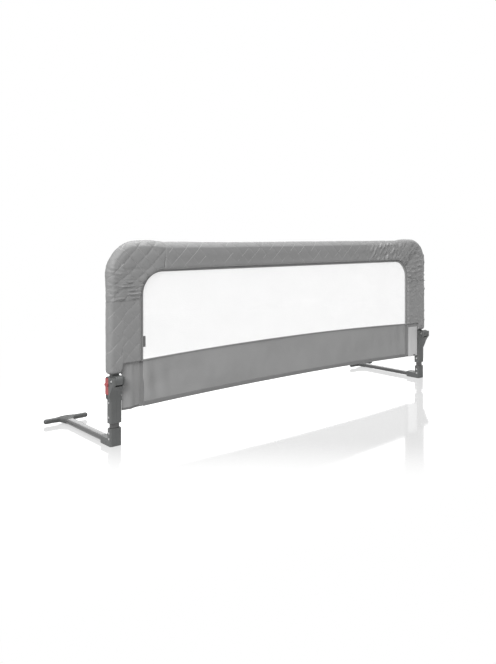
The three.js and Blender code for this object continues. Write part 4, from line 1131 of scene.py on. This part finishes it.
def dressed(node, slot, width):
    """A copy of a solid with its edges softened by width."""
    work = bmesh.new()
    work.from_mesh(frame["nodes"][node].data)
    bmesh.ops.remove_doubles(work, verts=work.verts, dist=WELD * MM)
    if any(word in node for word in ("hinge_shell", "knuckle", "pivot", "slider")):
        sign = -1 if node.startswith("left") else 1
        for corner in work.verts:
            x, y, z = (v * 1000 for v in corner.co)
            corner.co = to_frame(soften_hinge(node, sign, (x, y + ORIGIN_BACK, z)))
    bmesh.ops.dissolve_limit(work, angle_limit=FLAT_ANGLE, verts=work.verts, edges=work.edges)
    mesh = bpy.data.meshes.new(node + "_dressed")
    work.to_mesh(mesh)
    work.free()
    mesh.shade_smooth()
    made = stand_in(node, "_dressed", mesh, slot)
    edge = made.modifiers.new("edges", "BEVEL")
    edge.width = width * MM
    edge.segments = 3
    edge.limit_method = "ANGLE"
    edge.angle_limit = EDGE_ANGLE
    edge.use_clamp_overlap = True
    made.modifiers.new("normals", "WEIGHTED_NORMAL").keep_sharp = False


def coil(side):
    """A copy of the latch spring, with a mesh of its own. The real spring shortens as the release
    slider goes down.
    """
    mesh = frame["nodes"][f"{side}_latch_spring"].data.copy()
    made = stand_in(f"{side}_latch_spring", "_coil", mesh, "bare_steel")
    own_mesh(made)


def rounded_section(half_wide, low, high):
    """A rounded oblong as (x, z) points about x = 0."""
    turn = np.linspace(0, 2 * PI, 40, endpoint=False)
    power = 2 / 3.4
    across = np.sign(np.cos(turn)) * np.abs(np.cos(turn)) ** power * half_wide
    up = np.sign(np.sin(turn)) * np.abs(np.sin(turn)) ** power * (high - low) / 2
    return across, up + (high + low) / 2


def foot_skin(side, part, rings):
    """A closed moulding over rings of points of one count, in the place of a leg's part."""
    name, faces = f"{side}_{part}_skin", ring_faces(len(rings), len(rings[0]))
    points, body = np.concatenate(rings), f"{side}_leg"
    # The foot's mouldings take the darker copy of the moulded plastic: painted shade
    made = make_piece(name, points, faces, "dark_plastic", body, look="foot_plastic_shaded")
    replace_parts(face_out(made), f"{side}_{part}")


def foot_hub(side, sign):
    """The moulding that joins the floor arm to the foot bar, blended into both."""
    rings = []
    for y in (297, 297.4, 298.2, *np.linspace(299.5, 337, 30), 338.2, 339.2, 339.6):
        end = min((y - HUB_FRONT) / 2.4, (HUB_BACK - y) / 5.5, 1)
        full = math.sqrt(max(1 - (1 - end) ** 2, 0.02))
        flare = ease((y - 299) / 26)
        wide = (HUB_HALF + HUB_FLARE * flare) * (0.8 + 0.2 * full)
        low = HUB_LOW + 1.6 * flare
        high = HUB_HIGH + 2.6 * ease((y - 300) / 24)
        middle, tall = (low + high) / 2, (high - low) * full
        across, up = rounded_section(wide, middle - tall / 2, middle + tall / 2)
        rings.append(np.stack([sign * HALF + across, np.full_like(across, y), up], axis=1))
    foot_skin(side, "foot_hub", rings)


def foot_bar(side, sign):
    """The foot's cross bar: round, with domed ends, thicker towards its middle."""
    rings = []
    turn = np.linspace(0, 2 * PI, BAR_SIDES, endpoint=False)
    ends = BAR_HALF - BAR_ROUND * (1 - np.cos(np.linspace(0.12, PI / 2, 9)))
    for x in (*-ends, *np.linspace(-66, 66, 45), *ends[::-1]):
        dome = max(abs(x) - (BAR_HALF - BAR_ROUND), 0) / (BAR_ROUND + 0.05)
        size = BAR_ROUND + BAR_SWELL * ease(1 - abs(x) / 42)
        size = size * math.sqrt(max(1 - dome**2, 0))
        y, z = BAR_BACK + size * np.cos(turn), BAR_UP + size * np.sin(turn)
        rings.append(np.stack([np.full(BAR_SIDES, sign * HALF + x), y, z], axis=1))
    foot_skin(side, "foot_bar", rings)


SHELLS = (
    ("dark_plastic", 0.9, ("corner_shell_outer", "corner_shell_inner")),
    ("dark_plastic", 1.4, ("hinge_shell_outer", "hinge_shell_inner")),
    ("dark_plastic", 1.3, ("hinge_knuckle",)),
    ("coated_steel", 0.4, ("floor_arm",)),
    ("coated_steel", 0.3, ("post_tube",)),
    ("red_plastic", 0.6, ("release_slider",)),
    ("bare_steel", 0.3, ("corner_rivet_lower", "corner_rivet_upper")),
    ("bare_steel", 0.3, ("hinge_rivet_lower", "hinge_rivet_upper", "pivot_cap", "pivot_pin")),
)
INNER = (
    ("lock_bolt", "bare_steel"),
    ("frame_rivet", "bare_steel"),
    ("corner_tube", "coated_steel"),
    ("joint_plug", "dark_plastic"),
    ("snap_button", "bare_steel"),
)
for side, sign in SIDES:
    for slot, width, nodes in SHELLS:
        for node in nodes:
            dressed(f"{side}_{node}", slot, width)
    foot_hub(side, sign)
    foot_bar(side, sign)
    coil(side)
    for node, slot in INNER:
        for spot in frame["nodes"][f"{side}_{node}"].material_slots:
            spot.material = LOOKS[slot]
for spot in frame["nodes"]["top_tube"].material_slots:
    spot.material = LOOKS["coated_steel"]


# Floor, light and camera

WHITE = (1.0, 1.0, 1.0, 1.0)
FLOOR_REACH = 60.0
FLOOR_GLOSS = 0.31
FLOOR_GLOSS_FROM = -0.88
FLOOR_GLOSS_TO = -0.52
FLOOR_SHADE = 0.19
FLOOR_AWAY = (0.6553, 0.7554, 0.0)
WORLD_FILL = 0.36


def floor_material():
    """White sweep: it keeps a faint shadow near the object and a reflection that fades out far
    away and against FLOOR_AWAY, a fixed direction from the front left to the back right."""
    made = bpy.data.materials.new("studio_floor")
    made.use_nodes = True
    tree = made.node_tree
    tree.nodes.clear()

    def add(kind, settings=None, **inputs):
        return add_node(tree, kind, settings, **inputs).outputs[0]

    def fade(value, low, high, top):
        ends = {"From_Min": low, "From_Max": high, "To_Min": 0.0, "To_Max": top}
        return add("MapRange", {"interpolation_type": "SMOOTHSTEP"}, Value=value, **ends)

    def vector(operation, output, **inputs):
        return add_node(tree, "VectorMath", {"operation": operation}, **inputs).outputs[output]

    source = tree.nodes.new("ShaderNodeTexCoord").outputs["Object"]
    depth = vector("DOT_PRODUCT", "Value", i0=source, i1=FLOOR_AWAY)
    gloss = fade(depth, FLOOR_GLOSS_FROM, FLOOR_GLOSS_TO, FLOOR_GLOSS)
    squashed = vector("MULTIPLY", "Vector", i0=source, i1=(0.45, 1.0, 0.0))
    far = vector("LENGTH", "Value", i0=squashed)
    shade = fade(far, 1.1, 0.25, FLOOR_SHADE)
    gloss = add("Math", {"operation": "MULTIPLY"}, i0=gloss, i1=fade(far, 3.0, 1.5, 1.0))
    glow = add("Emission", Color=WHITE, Strength=1.0)
    base = add("BsdfDiffuse", Color=(0.9, 0.9, 0.9, 1.0))
    mirror = add("BsdfGlossy", Color=WHITE, Roughness=0.07)
    lit = add("MixShader", i0=shade, i1=glow, i2=base)
    shown = add("MixShader", i0=gloss, i1=lit, i2=mirror)
    rays = tree.nodes.new("ShaderNodeLightPath").outputs
    seen = add(
        "Math", {"operation": "MAXIMUM"}, i0=rays["Is Camera Ray"], i1=rays["Is Glossy Ray"]
    )
    bounce = add("BsdfDiffuse", Color=(0.5, 0.5, 0.5, 1.0))
    final = add("MixShader", i0=seen, i1=bounce, i2=shown)
    add_node(tree, "OutputMaterial", Surface=final)
    return made


mesh = bpy.data.meshes.new("floor")
around = ((-1, -1), (1, -1), (1, 1), (-1, 1))
mesh.from_pydata([(x * FLOOR_REACH, y * FLOOR_REACH, 0) for x, y in around], [], [(0, 1, 2, 3)])
floor = link("floor", mesh)
floor.data.materials.append(floor_material())

world = bpy.data.worlds.new("studio")
bpy.context.scene.world = world
world.use_nodes = True
tree = world.node_tree
tree.nodes.clear()
rays = tree.nodes.new("ShaderNodeLightPath").outputs
seen = rays["Is Camera Ray"]
for kind in ("Is Glossy Ray", "Is Transmission Ray"):
    seen = add_node(tree, "Math", {"operation": "MAXIMUM"}, i0=seen, i1=rays[kind]).outputs[0]
strength = add_node(tree, "MapRange", Value=seen, To_Min=WORLD_FILL, To_Max=1.0).outputs[0]
sky = add_node(tree, "Background", Color=WHITE, Strength=strength).outputs[0]
add_node(tree, "OutputWorld", Surface=sky)


def area_lamp(name, place, target, size, power):
    data = bpy.data.lights.new(name, "AREA")
    data.shape = "RECTANGLE"
    data.size, data.size_y = size
    data.energy = power
    made = link(name, data)
    made.location = place
    aim = np.subtract(target, place)
    made.rotation_euler = (
        math.atan2(math.hypot(aim[0], aim[1]), -aim[2]),
        0,
        math.atan2(aim[1], aim[0]) - PI / 2,
    )


area_lamp("key", (-5.0, -3.5, 4.0), target=(-0.1, 0, 0.3), size=(3.2, 3.2), power=400)
area_lamp("top", (0.0, 0.3, 3.2), target=(0, 0.05, 0), size=(2.4, 2.4), power=98)
area_lamp("rim", (2.3, 3.0, 1.0), target=(-0.2, 0.0, 0.0), size=(4.4, 0.9), power=18)

# The camera, worked out in the photograph's pixels
PHOTO_TALL = 664
FOCAL = 684.15
MIDDLE_OFF = 22
HORIZON = 234.59
SENSOR = 36.0

camera = link("camera", bpy.data.cameras.new("camera"))
bpy.context.scene.camera = camera
camera.location = (-1.6866, -1.8018 - ORIGIN_BACK * MM, 0.61365)
camera.rotation_euler = (math.radians(90), 0, math.radians(-40.94))
camera.data.sensor_fit = "AUTO"
camera.data.sensor_width = SENSOR
camera.data.lens = FOCAL * SENSOR / PHOTO_TALL
camera.data.shift_x = -MIDDLE_OFF / PHOTO_TALL
camera.data.shift_y = -(PHOTO_TALL / 2 - HORIZON) / PHOTO_TALL
camera.data.clip_end = 100
bpy.context.scene.view_settings.view_transform = "Standard"
